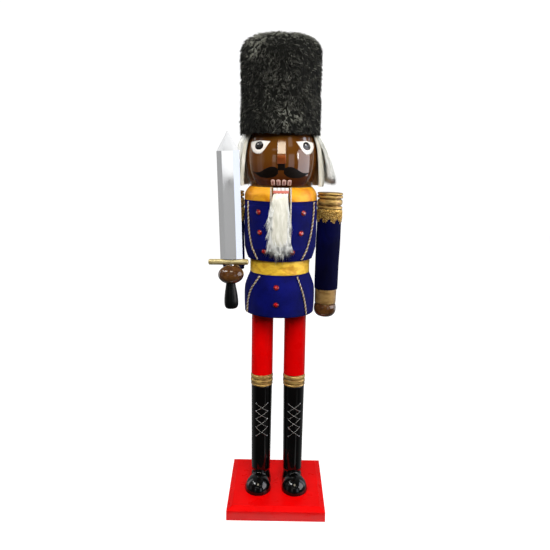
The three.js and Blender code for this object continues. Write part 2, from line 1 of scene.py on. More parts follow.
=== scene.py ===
"""The looks of a tall nutcracker guard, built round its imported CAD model. Metres, +Z up, -Y to the front."""

import json
import math
import random

import bmesh
import bpy
import numpy as np
from mathutils import Matrix, Vector, noise


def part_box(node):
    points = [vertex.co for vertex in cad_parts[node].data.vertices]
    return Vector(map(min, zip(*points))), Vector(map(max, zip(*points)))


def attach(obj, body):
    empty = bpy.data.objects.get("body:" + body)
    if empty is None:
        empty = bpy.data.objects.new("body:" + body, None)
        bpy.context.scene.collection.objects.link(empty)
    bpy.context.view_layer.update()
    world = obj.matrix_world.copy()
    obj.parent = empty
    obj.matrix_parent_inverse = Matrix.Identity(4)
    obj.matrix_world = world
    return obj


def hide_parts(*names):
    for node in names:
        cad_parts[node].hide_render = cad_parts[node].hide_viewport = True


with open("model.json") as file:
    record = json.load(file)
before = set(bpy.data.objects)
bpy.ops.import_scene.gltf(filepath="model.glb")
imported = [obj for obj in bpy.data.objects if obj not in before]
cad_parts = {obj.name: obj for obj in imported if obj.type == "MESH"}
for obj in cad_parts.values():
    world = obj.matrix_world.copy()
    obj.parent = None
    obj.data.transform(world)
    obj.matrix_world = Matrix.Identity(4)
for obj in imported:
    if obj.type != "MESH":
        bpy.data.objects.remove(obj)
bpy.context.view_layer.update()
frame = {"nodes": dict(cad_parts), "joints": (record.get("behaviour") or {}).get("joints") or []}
NODES = frame["nodes"]
JOINTS = {joint["name"]: joint for joint in frame["joints"]}

# ---------- driving values ----------
MM = 0.001
STANDING = Matrix.Identity(4)
SIDES = (("left", 1), ("right", -1))  # the figure's own, each with its sign along X

CAMERA_PLACE = (0, -1.458, 0.920)
CAMERA_DOWN = 8  # degrees below the horizontal
CAMERA_ROLL = 0.95  # degrees
CAMERA_LENS = 36.9  # millimetres, on a sensor 36 mm wide
CAMERA_SHIFT = (-0.0095, -0.0667)  # shares of the picture's width

FACE_TURN = 2.6  # degrees that the painted face is turned to the figure's left

# The arms hang from their shoulder axes and lean in a little at the bottom, as in the CAD model.
LEFT_LEAN = 1.2  # degrees
RIGHT_LEAN = 2.2  # degrees
ELBOW_DROP = 164.5  # millimetres from the shoulder's axis to the forearm's
FIST_REACH = 120  # millimetres from the elbow to the middle of the fist
FOREARM_YAW = 2.6  # degrees
BLADE_YAW = -8  # degrees


def spun(degrees, axis):
    """A turn about one axis."""
    return Matrix.Rotation(math.radians(degrees), 4, axis)


def shifted(x, y, z):
    """A move, given in millimetres."""
    return Matrix.Translation((x * MM, y * MM, z * MM))


def shoulder(joint, lean):
    """The frame of an arm: its origin on the shoulder's axis, its Z up the arm."""
    return Matrix.Translation(JOINTS[joint]["pos_m"]) @ spun(lean, "Y")


LEFT_ARM = shoulder("left_shoulder", LEFT_LEAN)
RIGHT_ARM = shoulder("right_shoulder", -RIGHT_LEAN)
ELBOW = RIGHT_ARM @ shifted(0, 0, -ELBOW_DROP) @ spun(FOREARM_YAW, "Z")
FOREARM = ELBOW @ spun(90, "X")  # its Z runs from the elbow to the fist
FIST = ELBOW @ shifted(0, -FIST_REACH, 0)
SWORD = FIST @ spun(BLADE_YAW - FOREARM_YAW, "Z")


# ---------- outlines and routes ----------
def outline_of(node, place=STANDING, bore=0.6):
    """The [radius, height] outline of a turned CAD node about its own axis, bottom up, without its bores."""
    inverse = place.inverted()
    found = {}
    for vertex in NODES[node].data.vertices:
        x, y, z = inverse @ vertex.co
        found.setdefault(round(z, 4), []).append(math.hypot(x, y))
    widest = max(max(radii) for radii in found.values())
    rings = [(max(radii), z) for z, radii in sorted(found.items()) if len(radii) >= 8]
    return [(r, z) for r, z in rings if r > bore * widest]


def curve_through(points, steps=6):
    """Points on a smooth curve that passes through all the given ones."""
    spots = [Vector(point) for point in points]
    padded = [2 * spots[0] - spots[1], *spots, 2 * spots[-1] - spots[-2]]
    made = []
    for a, b, c, d in zip(padded, padded[1:], padded[2:], padded[3:]):
        for i in range(steps):
            t = i / steps
            square = (2 * a - 5 * b + 4 * c - d) * t**2
            cube = (3 * b - a - 3 * c + d) * t**3
            made.append(0.5 * ((2 * b) + (c - a) * t + square + cube))
    return [*made, spots[-1]]


def rounded(points, radius, steps=4):
    """An outline with each of its corners rounded off."""
    spots = [Vector(point) for point in points]
    made = [spots[0]]
    for before, corner, after in zip(spots, spots[1:], spots[2:]):
        back, on = before - corner, after - corner
        reach = min(radius, back.length / 2.2, on.length / 2.2)
        start = corner + back.normalized() * reach
        end = corner + on.normalized() * reach
        for i in range(steps + 1):
            t = i / steps
            made.append(start * (1 - t) ** 2 + corner * 2 * t * (1 - t) + end * t**2)
    return [*made, spots[-1]]


def rounded_loop(corners, radius):
    """A closed plane outline with rounded corners."""
    looped = [*corners, corners[0], corners[1]]
    return rounded(looped, radius, 5)[1:-1]


def in_metres(points):
    """Points given in millimetres, in metres."""
    return [tuple(value * MM for value in point) for point in points]


def resampled(points, step=None, count=None):
    """The same open route with its points one step apart, or with a given number of them."""
    line = np.array([tuple(point) for point in points])
    lengths = np.concatenate([[0], np.cumsum(np.linalg.norm(np.diff(line, axis=0), axis=1))])
    count = count or max(2, int(lengths[-1] / step) + 1)
    even = np.linspace(0, lengths[-1], count)
    return np.stack([np.interp(even, lengths, column) for column in line.T], axis=1)


def polar(angle, r, z):
    """A place round the Z axis, its angle in radians from the front towards the figure's left."""
    return Vector((r * math.sin(angle), -r * math.cos(angle), z))


def even_angles(count):
    """Angles once round, in radians."""
    return [2 * math.pi * i / count for i in range(count)]


def unit(rows):
    """Each row scaled to a length of one."""
    return rows / np.linalg.norm(rows, axis=1)[:, None]


class Turned:
    """A surface turned about an axis, on which things can be placed by degrees from the front and height."""

    def __init__(self, outline, place=STANDING):
        self.radii = np.array([point[0] for point in outline])
        self.heights = np.array([point[1] for point in outline])
        self.place = place

    def outline(self):
        """The surface's [radius, height] points as plain pairs."""
        return list(zip(self.radii, self.heights))

    def radius(self, z):
        return float(np.interp(z, self.heights, self.radii))

    def point(self, degrees, z, stand=0.0):
        return self.place @ polar(math.radians(degrees), self.radius(z) + stand, z)

    def upright(self, degrees, z, stand=0.0):
        """A frame on the surface: its Z straight out, its Y up the surface."""
        step = 2 * MM
        up = (self.point(degrees, z + step) - self.point(degrees, z - step)).normalized()
        side = (self.point(degrees + 1, z) - self.point(degrees - 1, z)).normalized()
        out = side.cross(up)
        axes = Matrix((side, up, out)).transposed().to_4x4()
        return Matrix.Translation(self.point(degrees, z, stand)) @ axes


# ---------- meshes ----------
def placed(name, data):
    """A new object in the scene."""
    made = bpy.data.objects.new(name, data)
    bpy.context.scene.collection.objects.link(made)
    return made


def mesh_object(name, vertices, faces, material, smooth=True):
    """A piece with this mesh and finish."""
    mesh = bpy.data.meshes.new(name)
    mesh.from_pydata([tuple(vertex) for vertex in vertices], [], faces)
    mesh.materials.append(material)
    mesh.polygons.foreach_set("use_smooth", [smooth] * len(mesh.polygons))
    mesh.update()
    return placed(name, mesh)


def fit(piece, body, slot, *replaced):
    """Hangs a finished piece on its body and hides the CAD nodes that it stands for. Its slot is not used."""
    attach(piece, body)
    if replaced:
        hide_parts(*replaced)
    return piece


def braced(points, loop):
    """An outline with extra points near the ends of its long runs, so that they are shaded straight."""
    made = []
    for start, end in zip(points, [*points[1:], points[0]]):
        made.append(start)
        length = math.dist(start, end)
        if length > 6 * MM:
            for share in (0.4 * MM / length, 1 - 0.4 * MM / length):
                made.append(tuple(a + (b - a) * share for a, b in zip(start, end)))
    return made if loop else made[: made.index(points[-1]) + 1]


def turned(outline, place=STANDING, sides=96, shape=None, loop=False):
    """The vertices and faces of an outline turned about Z.

    The outline holds [radius, height] points, and shape(angle, r, z) may move the radius. A loop closes on
    itself, and any other outline is closed by a disc at each end.
    """
    points = braced([tuple(point) for point in outline], loop)
    vertices = []
    for angle in even_angles(sides):
        for r, z in points:
            moved = shape(angle, r, z) if shape else r
            vertices.append(place @ polar(angle, moved, z))
    count = len(points)
    steps = count if loop else count - 1
    faces = []
    for i in range(sides):
        here, there = i * count, (i + 1) % sides * count
        for j in range(steps):
            after = (j + 1) % count
            faces.append((here + j, there + j, there + after, here + after))
    if not loop:
        for end, flip in ((0, True), (count - 1, False)):
            middle = len(vertices)
            vertices.append(place @ Vector((0, 0, points[end][1])))
            for i in range(sides):
                here, there = i * count + end, (i + 1) % sides * count + end
                faces.append((there, here, middle) if flip else (here, there, middle))
    return vertices, faces


def lathe(name, outline, material, place=STANDING, sides=96, shape=None):
    """A solid of revolution as a piece."""
    return mesh_object(name, *turned(outline, place, sides, shape), material)


def shell_loop(outline, thickness):
    """A closed outline for a ring-shaped skin: up the outside and down the inside."""
    inside = [(r - thickness, z) for r, z in outline]
    return [*outline, *reversed(inside)]


def wrapping(name, outline, thickness, material, sides, shape):
    """A sheet of some thickness wrapped round an outline."""
    return mesh_object(name, *turned(shell_loop(outline, thickness), STANDING, sides, shape, True), material)


def stacked(rings):
    """The vertices and faces of a closed body through rings that hold equally many points."""
    count = len(rings[0])
    vertices = [point for ring in rings for point in ring]
    last = len(vertices) - count
    faces = []
    for start in range(0, last, count):
        for i in range(count):
            a, b = start + i, start + (i + 1) % count
            faces.append((a, b, b + count, a + count))
    faces.append(tuple(reversed(range(count))))
    faces.append(tuple(range(last, last + count)))
    return vertices, faces


def tube(route, radius, sides=8):
    """The vertices and faces of a closed tube along a route."""
    route = np.asarray(route, float)
    along = unit(np.gradient(route, axis=0))
    side = np.cross(along[0], (0.31, 0.17, 0.93))
    rings = []
    for point, direction in zip(route, along):
        side = side - direction * side.dot(direction)
        side /= np.linalg.norm(side)
        up = np.cross(direction, side)
        angles = even_angles(sides)
        rings.append([point + radius * (math.cos(angle) * side + math.sin(angle) * up) for angle in angles])
    return stacked(rings)


def joined(name, parts, material, smooth=True):
    """One object from several (vertices, faces) pairs."""
    vertices, faces = [], []
    for some_vertices, some_faces in parts:
        start = len(vertices)
        vertices.extend(some_vertices)
        faces.extend(tuple(index + start for index in face) for face in some_faces)
    return mesh_object(name, vertices, faces, material, smooth)


def twisted_cord(name, points, radius, materials):
    """A two-strand laid cord along a route, one strand of each material."""
    pitch = 9.6 * MM
    spacing = 0.65  # millimetres between the route's points
    route = resampled(points, spacing * MM)
    along = unit(np.gradient(route, axis=0))
    side = unit(np.cross(along, (0, 1, 0.02)))
    up = np.cross(along, side)
    turn = np.arange(len(route)) * spacing * MM / pitch * 2 * math.pi
    parts = []
    for strand in range(2):
        angle = (turn + strand * math.pi)[:, None]
        offset = radius * 0.5 * (np.cos(angle) * side + np.sin(angle) * up)
        parts.append(tube(route + offset, radius * 0.58, 6))
    cord = joined(name, parts, materials[0])
    cord.data.materials.append(materials[1])
    first = len(parts[0][1])
    for face in cord.data.polygons[first:]:
        face.material_index = 1
    return cord


def closed_piece(name, vertices, faces, material):
    """A piece with this closed mesh, its faces turned outwards."""
    made = mesh_object(name, vertices, faces, material)
    face_out(made)
    return made


def patch(name, outline, surface, material, rise=0.35 * MM, sink=0.5 * MM, rings=7):
    """A thin closed piece on a surface, its edge rounded. The outline is in the surface's own directions."""
    border = np.array([tuple(point) for point in outline])
    centre = border.mean(axis=0)
    vertices = [surface(centre, rise)]
    faces = []
    count = len(border)
    for ring in range(1, rings + 1):
        share = ring / rings
        lift = rise * (1 - share**6) ** 0.5
        vertices.extend(surface(centre + (spot - centre) * share, lift) for spot in border)
    vertices.extend(surface(spot, -sink) for spot in border)
    vertices.append(surface(centre, -sink))
    for i in range(count):
        j = (i + 1) % count
        faces.append((0, 1 + i, 1 + j))
        for ring in range(rings):
            low, high = 1 + ring * count, 1 + (ring + 1) * count
            faces.append((low + i, high + i, high + j, low + j))
        last = 1 + rings * count
        faces.append((last + i, len(vertices) - 1, last + j))
    return closed_piece(name, vertices, faces, material)


def face_out(piece):
    """Turns the faces of a closed piece outwards."""
    work = bmesh.new()
    work.from_mesh(piece.data)
    bmesh.ops.recalc_face_normals(work, faces=work.faces)
    work.to_mesh(piece.data)
    work.free()


def modify(piece, kind, **settings):
    """Gives the piece a modifier."""
    modifier = piece.modifiers.new(kind.lower(), kind)
    for setting, value in settings.items():
        setattr(modifier, setting, value)


def apply_modifiers(piece):
    """Leaves the piece with the mesh that its modifiers make."""
    graph = bpy.context.evaluated_depsgraph_get()
    mesh = bpy.data.meshes.new_from_object(piece.evaluated_get(graph))
    piece.modifiers.clear()
    piece.data = mesh
    return piece


def cut_away(piece, corners, faces):
    """Takes a closed body out of a piece."""
    mesh = bpy.data.meshes.new("tool")
    mesh.from_pydata(corners, [], faces)
    tool = placed("tool", mesh)
    face_out(tool)
    modify(piece, "BOOLEAN", object=tool, operation="DIFFERENCE", solver="EXACT")
    apply_modifiers(piece)
    bpy.data.objects.remove(tool)


def cut_boxes(piece, *boxes):
    """Takes boxes, given by their lowest and highest corners, out of a piece."""
    faces = [(0, 1, 3, 2), (4, 6, 7, 5), (0, 4, 5, 1), (2, 3, 7, 6), (0, 2, 6, 4), (1, 5, 7, 3)]
    for low, high in boxes:
        corners = [(x, y, z) for x in (low[0], high[0]) for y in (low[1], high[1]) for z in (low[2], high[2])]
        cut_away(piece, corners, faces)


def middle_x(node):
    """Where a CAD node's middle lies across the figure."""
    low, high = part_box(node)
    return (low.x + high.x) / 2


def paint(node, material):
    """Finishes a CAD node that keeps its own mesh."""
    piece = NODES[node]
    piece.data.materials.clear()
    piece.data.materials.append(material)


def soften_edges(node, width, segments=3):
    """Rounds the edges of a CAD node that keeps its own mesh."""
    modify(NODES[node], "WELD", merge_threshold=1e-5)
    sharp = {"limit_method": "ANGLE", "angle_limit": math.radians(15)}
    modify(NODES[node], "BEVEL", width=width, segments=segments, harden_normals=True, **sharp)


def hairs(name, spines, radii, tones, material):
    """Closed three-sided tapering hairs, each with a spine, a radius and a tone of its own."""
    spines = np.asarray(spines, float)
    count, points, _ = spines.shape
    along = unit(spines[:, -1] - spines[:, 0])
    side = unit(np.cross(along, (0.43, 0.62, 0.65)))
    up = np.cross(along, side)
    rings = points - 1
    taper = np.array([(1 - (j / rings) ** 2) ** 0.5 for j in range(rings)])
    vertices = np.zeros((count, rings * 3 + 1, 3))
    for corner in range(3):
        angle = 2 * math.pi * corner / 3
        out = math.cos(angle) * side + math.sin(angle) * up
        for j in range(rings):
            vertices[:, j * 3 + corner] = spines[:, j] + out * (radii * taper[j])[:, None]
    vertices[:, -1] = spines[:, -1]
    faces = [(0, 1, 2)]
    for corner in range(3):
        after = (corner + 1) % 3
        for j in range(rings - 1):
            faces.append((j * 3 + after, j * 3 + corner, j * 3 + 3 + corner, j * 3 + 3 + after))
        faces.append((rings * 3 - 3 + after, rings * 3 - 3 + corner, rings * 3))
    per_hair = rings * 3 + 1
    all_faces = [tuple(index + hair * per_hair for index in face) for hair in range(count) for face in faces]
    made = mesh_object(name, vertices.reshape(-1, 3), all_faces, material)
    share = np.append(np.repeat(np.arange(rings) / rings, 3), 1.0)
    for attribute, values in (("tone", np.repeat(tones, per_hair)), ("run", np.tile(share, count))):
        stored = made.data.attributes.new(attribute, "FLOAT", "POINT")
        stored.data.foreach_set("value", values.astype(np.float32))
    return made


# ---------- materials ----------
def rgb(red, green, blue):
    """A screen colour of 0-255 values as the linear colour that shaders take."""
    screen = [value / 255 for value in (red, green, blue)]
    linear = [v / 12.92 if v <= 0.04045 else ((v + 0.055) / 1.055) ** 2.4 for v in screen]
    return (*linear, 1.0)


def new_node(nodes, kind, inputs=(), **settings):
    """A node with these values in its sockets."""
    made = nodes.new(kind)
    for setting, value in settings.items():
        setattr(made, setting, value)
    for socket, value in dict(inputs).items():
        made.inputs[socket].default_value = value
    return made


class Finish:
    """A node material in the making: a Principled shader with textures laid in object space."""

    def __init__(self, name, **sockets):
        self.material = bpy.data.materials.new(name)
        self.material.use_nodes = True
        self.nodes = self.material.node_tree.nodes
        self.shader = self.nodes["Principled BSDF"]
        self.place = self.node("ShaderNodeTexCoord").outputs["Object"]
        self.normal = None
        for socket, value in sockets.items():
            self.shader.inputs[socket.replace("_", " ")].default_value = value

    def node(self, kind, inputs=(), **settings):
        return new_node(self.nodes, kind, inputs, **settings)

    def link(self, source, target):
        self.material.node_tree.links.new(source, target)

    def stretched(self, stretch):
        mapping = self.node("ShaderNodeMapping", {"Scale": stretch})
        self.link(self.place, mapping.inputs["Vector"])
        return mapping.outputs["Vector"]

    def noise(self, scale, detail=3.0, stretch=(1, 1, 1), distortion=0.0):
        values = {"Scale": scale, "Detail": detail, "Distortion": distortion}
        made = self.node("ShaderNodeTexNoise", values)
        self.link(self.stretched(stretch), made.inputs["Vector"])
        return made.outputs["Fac"]

    def weave(self, threads):
        """Crossing ribs, threads to the metre, that follow the height and the way round."""
        values = {"Scale": threads / 20, "Distortion": 1.5, "Detail Scale": 4}
        made = self.node("ShaderNodeTexWave", values, wave_type="BANDS", bands_direction="Z")
        self.link(self.place, made.inputs["Vector"])
        return made.outputs["Fac"]

    def height(self):
        """The height above the ground as a factor source."""
        split = self.node("ShaderNodeSeparateXYZ")
        self.link(self.place, split.inputs[0])
        return split.outputs["Z"]

    def scaled(self, value, low, high, new_low=0.0, new_high=1.0):
        values = {"From Min": low, "From Max": high, "To Min": new_low, "To Max": new_high}
        made = self.node("ShaderNodeMapRange", values)
        self.link(value, made.inputs["Value"])
        return made.outputs["Result"]

    def attribute(self, name):
        return self.node("ShaderNodeAttribute", attribute_name=name).outputs["Fac"]

    def ramp(self, factor, *stops):
        made = self.node("ShaderNodeValToRGB")
        elements = made.color_ramp.elements
        elements[0].position, elements[1].position = stops[0][0], stops[-1][0]
        for position, _ in stops[1:-1]:
            elements.new(position)
        for element, (_, colour) in zip(elements, stops):
            element.color = colour
        self.link(factor, made.inputs["Fac"])
        return made.outputs["Color"]

    def mix(self, factor, first, second, way="MIX"):
        made = self.node("ShaderNodeMix", data_type="RGBA", blend_type=way)
        for index, value in ((0, factor), (6, first), (7, second)):
            if isinstance(value, (float, tuple)):
                made.inputs[index].default_value = value
            else:
                self.link(value, made.inputs[index])
        return made.outputs[2]

    def hollows(self, distance):
        """0 in narrow grooves and 1 in the open."""
        return self.node("ShaderNodeAmbientOcclusion", {"Distance": distance}, samples=6).outputs["AO"]

    def colour(self, source):
        self.link(source, self.shader.inputs["Base Color"])

    def colour_by(self, factor, *stops):
        self.colour(self.ramp(factor, *stops))

    def roughness(self, factor, low, high):
        self.link(self.scaled(factor, 0.3, 0.7, low, high), self.shader.inputs["Roughness"])

    def bump(self, height, distance, strength=1.0):
        made = self.node("ShaderNodeBump", {"Distance": distance, "Strength": strength})
        self.link(height, made.inputs["Height"])
        if self.normal:
            self.link(self.normal, made.inputs["Normal"])
        self.normal = made.outputs["Normal"]
        self.link(self.normal, self.shader.inputs["Normal"])


def gloss_paint(name, colour, shade, smooth=0.1, coat=0.7, shine=0.5):
    """Lacquer brushed on turned wood: slow waves, orange peel and faint smudges."""
    finish = Finish(name, Coat_Weight=coat, Coat_Roughness=0.03, Specular_IOR_Level=shine)
    finish.colour_by(finish.noise(18, 4), (0.3, shade), (0.7, colour))
    finish.roughness(finish.noise(45, 4), smooth, smooth + 0.14)
    finish.bump(finish.noise(16, 2, (1, 1, 0.25)), 0.6 * MM, 0.35)
    finish.bump(finish.noise(900, 2), 0.03 * MM, 0.5)
    return finish.material


def gold_paint(name, colour, dark, metal=0.5, rough=0.3):
    """Antique gold: metallic paint, browned in the grooves as painted shade, and rubbed in patches."""
    finish = Finish(name, Metallic=metal, Coat_Weight=0.25, Coat_Roughness=0.12)
    patches = finish.ramp(finish.noise(55, 5, (1, 1, 3)), (0.32, dark), (0.6, colour))
    # Painted shade: the ambient occlusion darkens the colour in the grooves.
    grooves = finish.ramp(finish.hollows(5 * MM), (0.45, dark), (0.85, (1, 1, 1, 1)))
    finish.colour(finish.mix(0.75, patches, grooves, "MULTIPLY"))
    finish.roughness(finish.noise(130, 4), rough, rough + 0.22)
    finish.bump(finish.noise(240, 4, (1, 1, 2.5)), 0.25 * MM, 0.5)
    return finish.material


def skin_paint():
    """Brown lacquer, warmer in the middle of the face, with painted shade that makes it darker and redder low
    down.
    """
    finish = Finish("skin_paint", Coat_Weight=1.0, Coat_Roughness=0.06, Specular_IOR_Level=0.1)
    tones = finish.ramp(finish.noise(11, 4), (0.3, rgb(92, 48, 10)), (0.7, rgb(100, 62, 15)))
    # Painted shade: the head and jaw turn darker and redder towards the bottom.
    low = finish.scaled(finish.height(), 0.865, 0.915)
    finish.colour(finish.mix(low, rgb(68, 29, 9), tones))
    finish.roughness(finish.noise(60, 3), 0.07, 0.16)
    finish.bump(finish.noise(14, 2, (1, 1, 0.3)), 0.5 * MM, 0.4)
    finish.bump(finish.noise(90, 3, (1, 1, 0.08)), 0.12 * MM, 0.5)
    return finish.material


def hand_paint():
    """Tan lacquer with darker, thinner places."""
    finish = Finish("hand_paint", Coat_Weight=0.7, Coat_Roughness=0.06, Specular_IOR_Level=0.2)
    finish.colour_by(finish.noise(48, 4), (0.35, rgb(68, 39, 16)), (0.65, rgb(96, 62, 29)))
    finish.roughness(finish.noise(60, 3), 0.07, 0.16)
    finish.bump(finish.noise(30, 3), 0.5 * MM, 0.5)
    return finish.material


def nose_paint():
    """The nose's brown lacquer, lighter and redder at its tip."""
    finish = Finish("nose_paint", Coat_Weight=1.0, Coat_Roughness=0.05)
    tip = finish.ramp(finish.noise(40, 3), (0.3, rgb(150, 70, 27)), (0.7, rgb(172, 88, 37)))
    bridge = finish.scaled(finish.height(), 0.924, 0.932)
    finish.colour(finish.mix(bridge, tip, rgb(104, 62, 20)))
    finish.roughness(finish.noise(60, 3), 0.1, 0.2)
    finish.bump(finish.noise(120, 3), 0.15 * MM, 0.4)
    return finish.material


def bare_wood():
    """Pale planed wood, its grain along the height."""
    finish = Finish("bare_wood", Roughness=0.7)
    grain = finish.noise(26, 6, (1, 1, 0.08), 1.2)
    stops = (0.3, rgb(150, 112, 70)), (0.55, rgb(205, 172, 124)), (0.75, rgb(222, 192, 146))
    finish.colour_by(grain, *stops)
    finish.bump(finish.noise(300, 3, (1, 1, 0.06)), 0.15 * MM, 0.6)
    return finish.material


def steel():
    finish = Finish("steel", Metallic=1.0)
    finish.colour_by(finish.noise(80, 3), (0.3, rgb(130, 133, 138)), (0.7, rgb(176, 179, 184)))
    finish.roughness(finish.noise(200, 3, (1, 1, 6)), 0.28, 0.45)
    return finish.material


def felt():
    """Royal blue felt: short matted fibres with painted shade in their hollows, and slightly rubbed places."""
    finish = Finish("coat_felt", Roughness=0.9, Sheen_Weight=0.08, Sheen_Roughness=0.5)
    finish.shader.inputs["Sheen Tint"].default_value = rgb(90, 100, 235)
    finish.shader.inputs["Specular IOR Level"].default_value = 0.15
    worn = finish.ramp(finish.noise(24, 5), (0.3, rgb(3, 7, 78)), (0.7, rgb(6, 14, 108)))
    # Painted shade: the fibres' colour uses the same noise as their bump, darker in its hollows.
    fibres = finish.ramp(finish.noise(520, 6), (0.3, rgb(170, 170, 200)), (0.62, (1, 1, 1, 1)))
    finish.colour(finish.mix(0.8, worn, fibres, "MULTIPLY"))
    finish.bump(finish.noise(520, 6), 0.5 * MM, 0.7)
    finish.bump(finish.noise(70, 3), 0.6 * MM, 0.35)
    return finish.material


def velvet():
    """Dark blue velvet, its nap painted lighter where raised and darker in hollows as light and shade."""
    finish = Finish("velvet", Roughness=0.92, Sheen_Weight=0.1, Sheen_Roughness=0.35)
    finish.shader.inputs["Sheen Tint"].default_value = rgb(60, 66, 190)
    finish.shader.inputs["Specular IOR Level"].default_value = 0.1
    nap = finish.noise(20, 5, (1, 1, 0.45), 0.6)
    # Painted light and shade: the colour follows the nap's relief, lighter on top and darker in its hollows.
    finish.colour_by(nap, (0.3, rgb(1, 1, 22)), (0.55, rgb(1, 2, 42)), (0.75, rgb(3, 5, 62)))
    finish.bump(finish.noise(800, 4), 0.3 * MM, 0.8)
    finish.bump(nap, 0.9 * MM, 0.4)
    return finish.material


def lame(name, bright, dark, metal, rough):
    """Woven metallic ribbon with fine ribs and crushed creases."""
    finish = Finish(name, Metallic=metal)
    crushed = finish.noise(34, 5, (1, 1, 1.6), 0.8)
    # Painted shade and highlight: the colour follows the creases, darker in their hollows and lighter on their
    # ridges.
    finish.colour_by(crushed, (0.28, dark), (0.55, bright))
    finish.roughness(finish.noise(90, 4), rough, rough + 0.25)
    finish.bump(finish.weave(1400), 0.12 * MM, 0.5)
    finish.bump(crushed, 1.2 * MM, 0.7)
    return finish.material


def braid_thread(name, colour, dark):
    finish = Finish(name, Metallic=0.4, Roughness=0.42)
    finish.colour_by(finish.noise(700, 3), (0.35, dark), (0.6, colour))
    finish.bump(finish.noise(2600, 2, (1, 1, 0.4)), 0.1 * MM, 0.6)
    return finish.material


def bullion():
    """Gold thread and sequins, lighter in random spots as painted shine and darker in others."""
    finish = Finish("bullion", Metallic=0.6)
    # Painted shine: random spots of thread and sequin are coloured lighter.
    shine = finish.noise(420, 4)
    stops = (0.34, rgb(96, 66, 22)), (0.5, rgb(190, 146, 62)), (0.64, rgb(246, 214, 130))
    finish.colour_by(shine, *stops)
    finish.roughness(finish.noise(300, 2), 0.2, 0.42)
    return finish.material


def gem_stone():
    finish = Finish("gem", Coat_Weight=1.0, Coat_Roughness=0.01, Specular_IOR_Level=0.4)
    depth = finish.noise(260, 3)
    finish.colour_by(depth, (0.36, rgb(84, 2, 8)), (0.6, rgb(190, 14, 24)))
    finish.roughness(depth, 0.04, 0.1)
    return finish.material


def gem_setting():
    finish = Finish("gem_setting", Metallic=0.6, Roughness=0.4)
    finish.colour_by(finish.noise(500, 2), (0.3, rgb(40, 8, 16)), (0.7, rgb(92, 30, 34)))
    return finish.material


def fur(name, root, tip, light, rough=0.62):
    """Fur that pales from root to tip, each hair with a tone of its own."""
    finish = Finish(name, Roughness=rough, Specular_IOR_Level=0.35)
    along = finish.ramp(finish.attribute("run"), (0.0, root), (0.7, tip))
    finish.colour(finish.mix(finish.attribute("tone"), along, light))
    finish.bump(finish.noise(1500, 2, (1, 1, 0.3)), 0.1 * MM, 0.4)
    return finish.material


def hide(name, dark, pale):
    """The matted underfur below the hairs."""
    finish = Finish(name, Roughness=0.9, Specular_IOR_Level=0.15)
    tuft = finish.noise(120, 6, (1, 1, 0.25), 0.6)
    # Painted light and shade: the colour follows the tufts, darker in their hollows and paler on their tops.
    finish.colour_by(tuft, (0.35, dark), (0.7, pale))
    finish.bump(tuft, 3 * MM, 0.8)
    return finish.material


def enamel(name, colour, shade, rough=0.12, coat=0.8, shine=0.5):
    """Thick hand-laid paint for eyes, teeth and moustache."""
    finish = Finish(name, Coat_Weight=coat, Coat_Roughness=0.04, Specular_IOR_Level=shine)
    finish.colour_by(finish.noise(160, 4), (0.3, shade), (0.65, colour))
    finish.roughness(finish.noise(200, 3), rough, rough + 0.12)
    finish.bump(finish.noise(260, 3), 0.06 * MM, 0.4)
    return finish.material


def blade_paint():
    """Silver gloss on a flat wooden blade, brushed along its length."""
    finish = Finish("blade_paint", Metallic=0.85)
    brushed = finish.noise(60, 4, (1, 1, 0.05))
    finish.colour_by(brushed, (0.3, rgb(232, 233, 234)), (0.7, rgb(240, 241, 243)))
    finish.roughness(brushed, 0.07, 0.14)
    finish.bump(finish.noise(90, 3, (1, 1, 0.05)), 0.04 * MM, 0.3)
    return finish.material


RED_GLOSS = gloss_paint("red_gloss", rgb(232, 2, 3), rgb(216, 1, 2), 0.25, 0.05, 0.06)
BLACK_GLOSS = gloss_paint("black_gloss", rgb(7, 6, 6), rgb(3, 3, 3), 0.08, 0.6, 0.15)
GOLD_PAINT = gold_paint("gold_paint", rgb(206, 170, 96), rgb(122, 88, 40))
CUFF_GOLD = gold_paint("cuff_gold", rgb(166, 132, 76), rgb(126, 94, 48), 0.35, 0.36)
GUARD_GOLD = gold_paint("guard_gold", rgb(218, 202, 148), rgb(160, 138, 84))
SKIN = skin_paint()
HAND_PAINT = hand_paint()
NOSE_PAINT = nose_paint()
GRIP_PAINT = gloss_paint("grip_paint", rgb(12, 13, 13), rgb(7, 8, 8), 0.25, 0.06, 0.12)
WOOD = bare_wood()
STEEL = steel()
FELT = felt()
VELVET = velvet()
BELT_LAME = lame("belt_lame", rgb(252, 204, 60), rgb(196, 130, 20), 0.1, 0.34)
COLLAR_SATIN = lame("collar_satin", rgb(238, 166, 20), rgb(206, 114, 5), 0.2, 0.34)
LACE_THREAD = braid_thread("lace_thread", rgb(168, 166, 162), rgb(104, 102, 98))
SILVER_THREAD = braid_thread("silver_thread", rgb(240, 234, 218), rgb(158, 150, 130))
GOLD_THREAD = braid_thread("gold_thread", rgb(184, 148, 90), rgb(92, 68, 36))
BULLION = bullion()
GEM = gem_stone()
GEM_SETTING = gem_setting()
BLACK_FUR = fur("black_fur", rgb(9, 9, 8), rgb(31, 32, 28), rgb(178, 179, 166))
BLACK_HIDE = hide("black_hide", rgb(7, 7, 6), rgb(26, 27, 24))
WHITE_FUR = fur("white_fur", rgb(212, 213, 204), rgb(242, 243, 238), rgb(251, 252, 250), 0.55)
WHITE_HIDE = hide("white_hide", rgb(208, 206, 190), rgb(242, 240, 230))
EYE_WHITE = enamel("eye_white", rgb(254, 249, 242), rgb(246, 236, 226))
EYE_BLACK = enamel("eye_black", rgb(18, 14, 12), rgb(11, 8, 7), 0.08, 0.5, 0.15)
EYE_RING = enamel("eye_ring", rgb(38, 28, 22), rgb(24, 18, 14), 0.12, 0.5, 0.15)
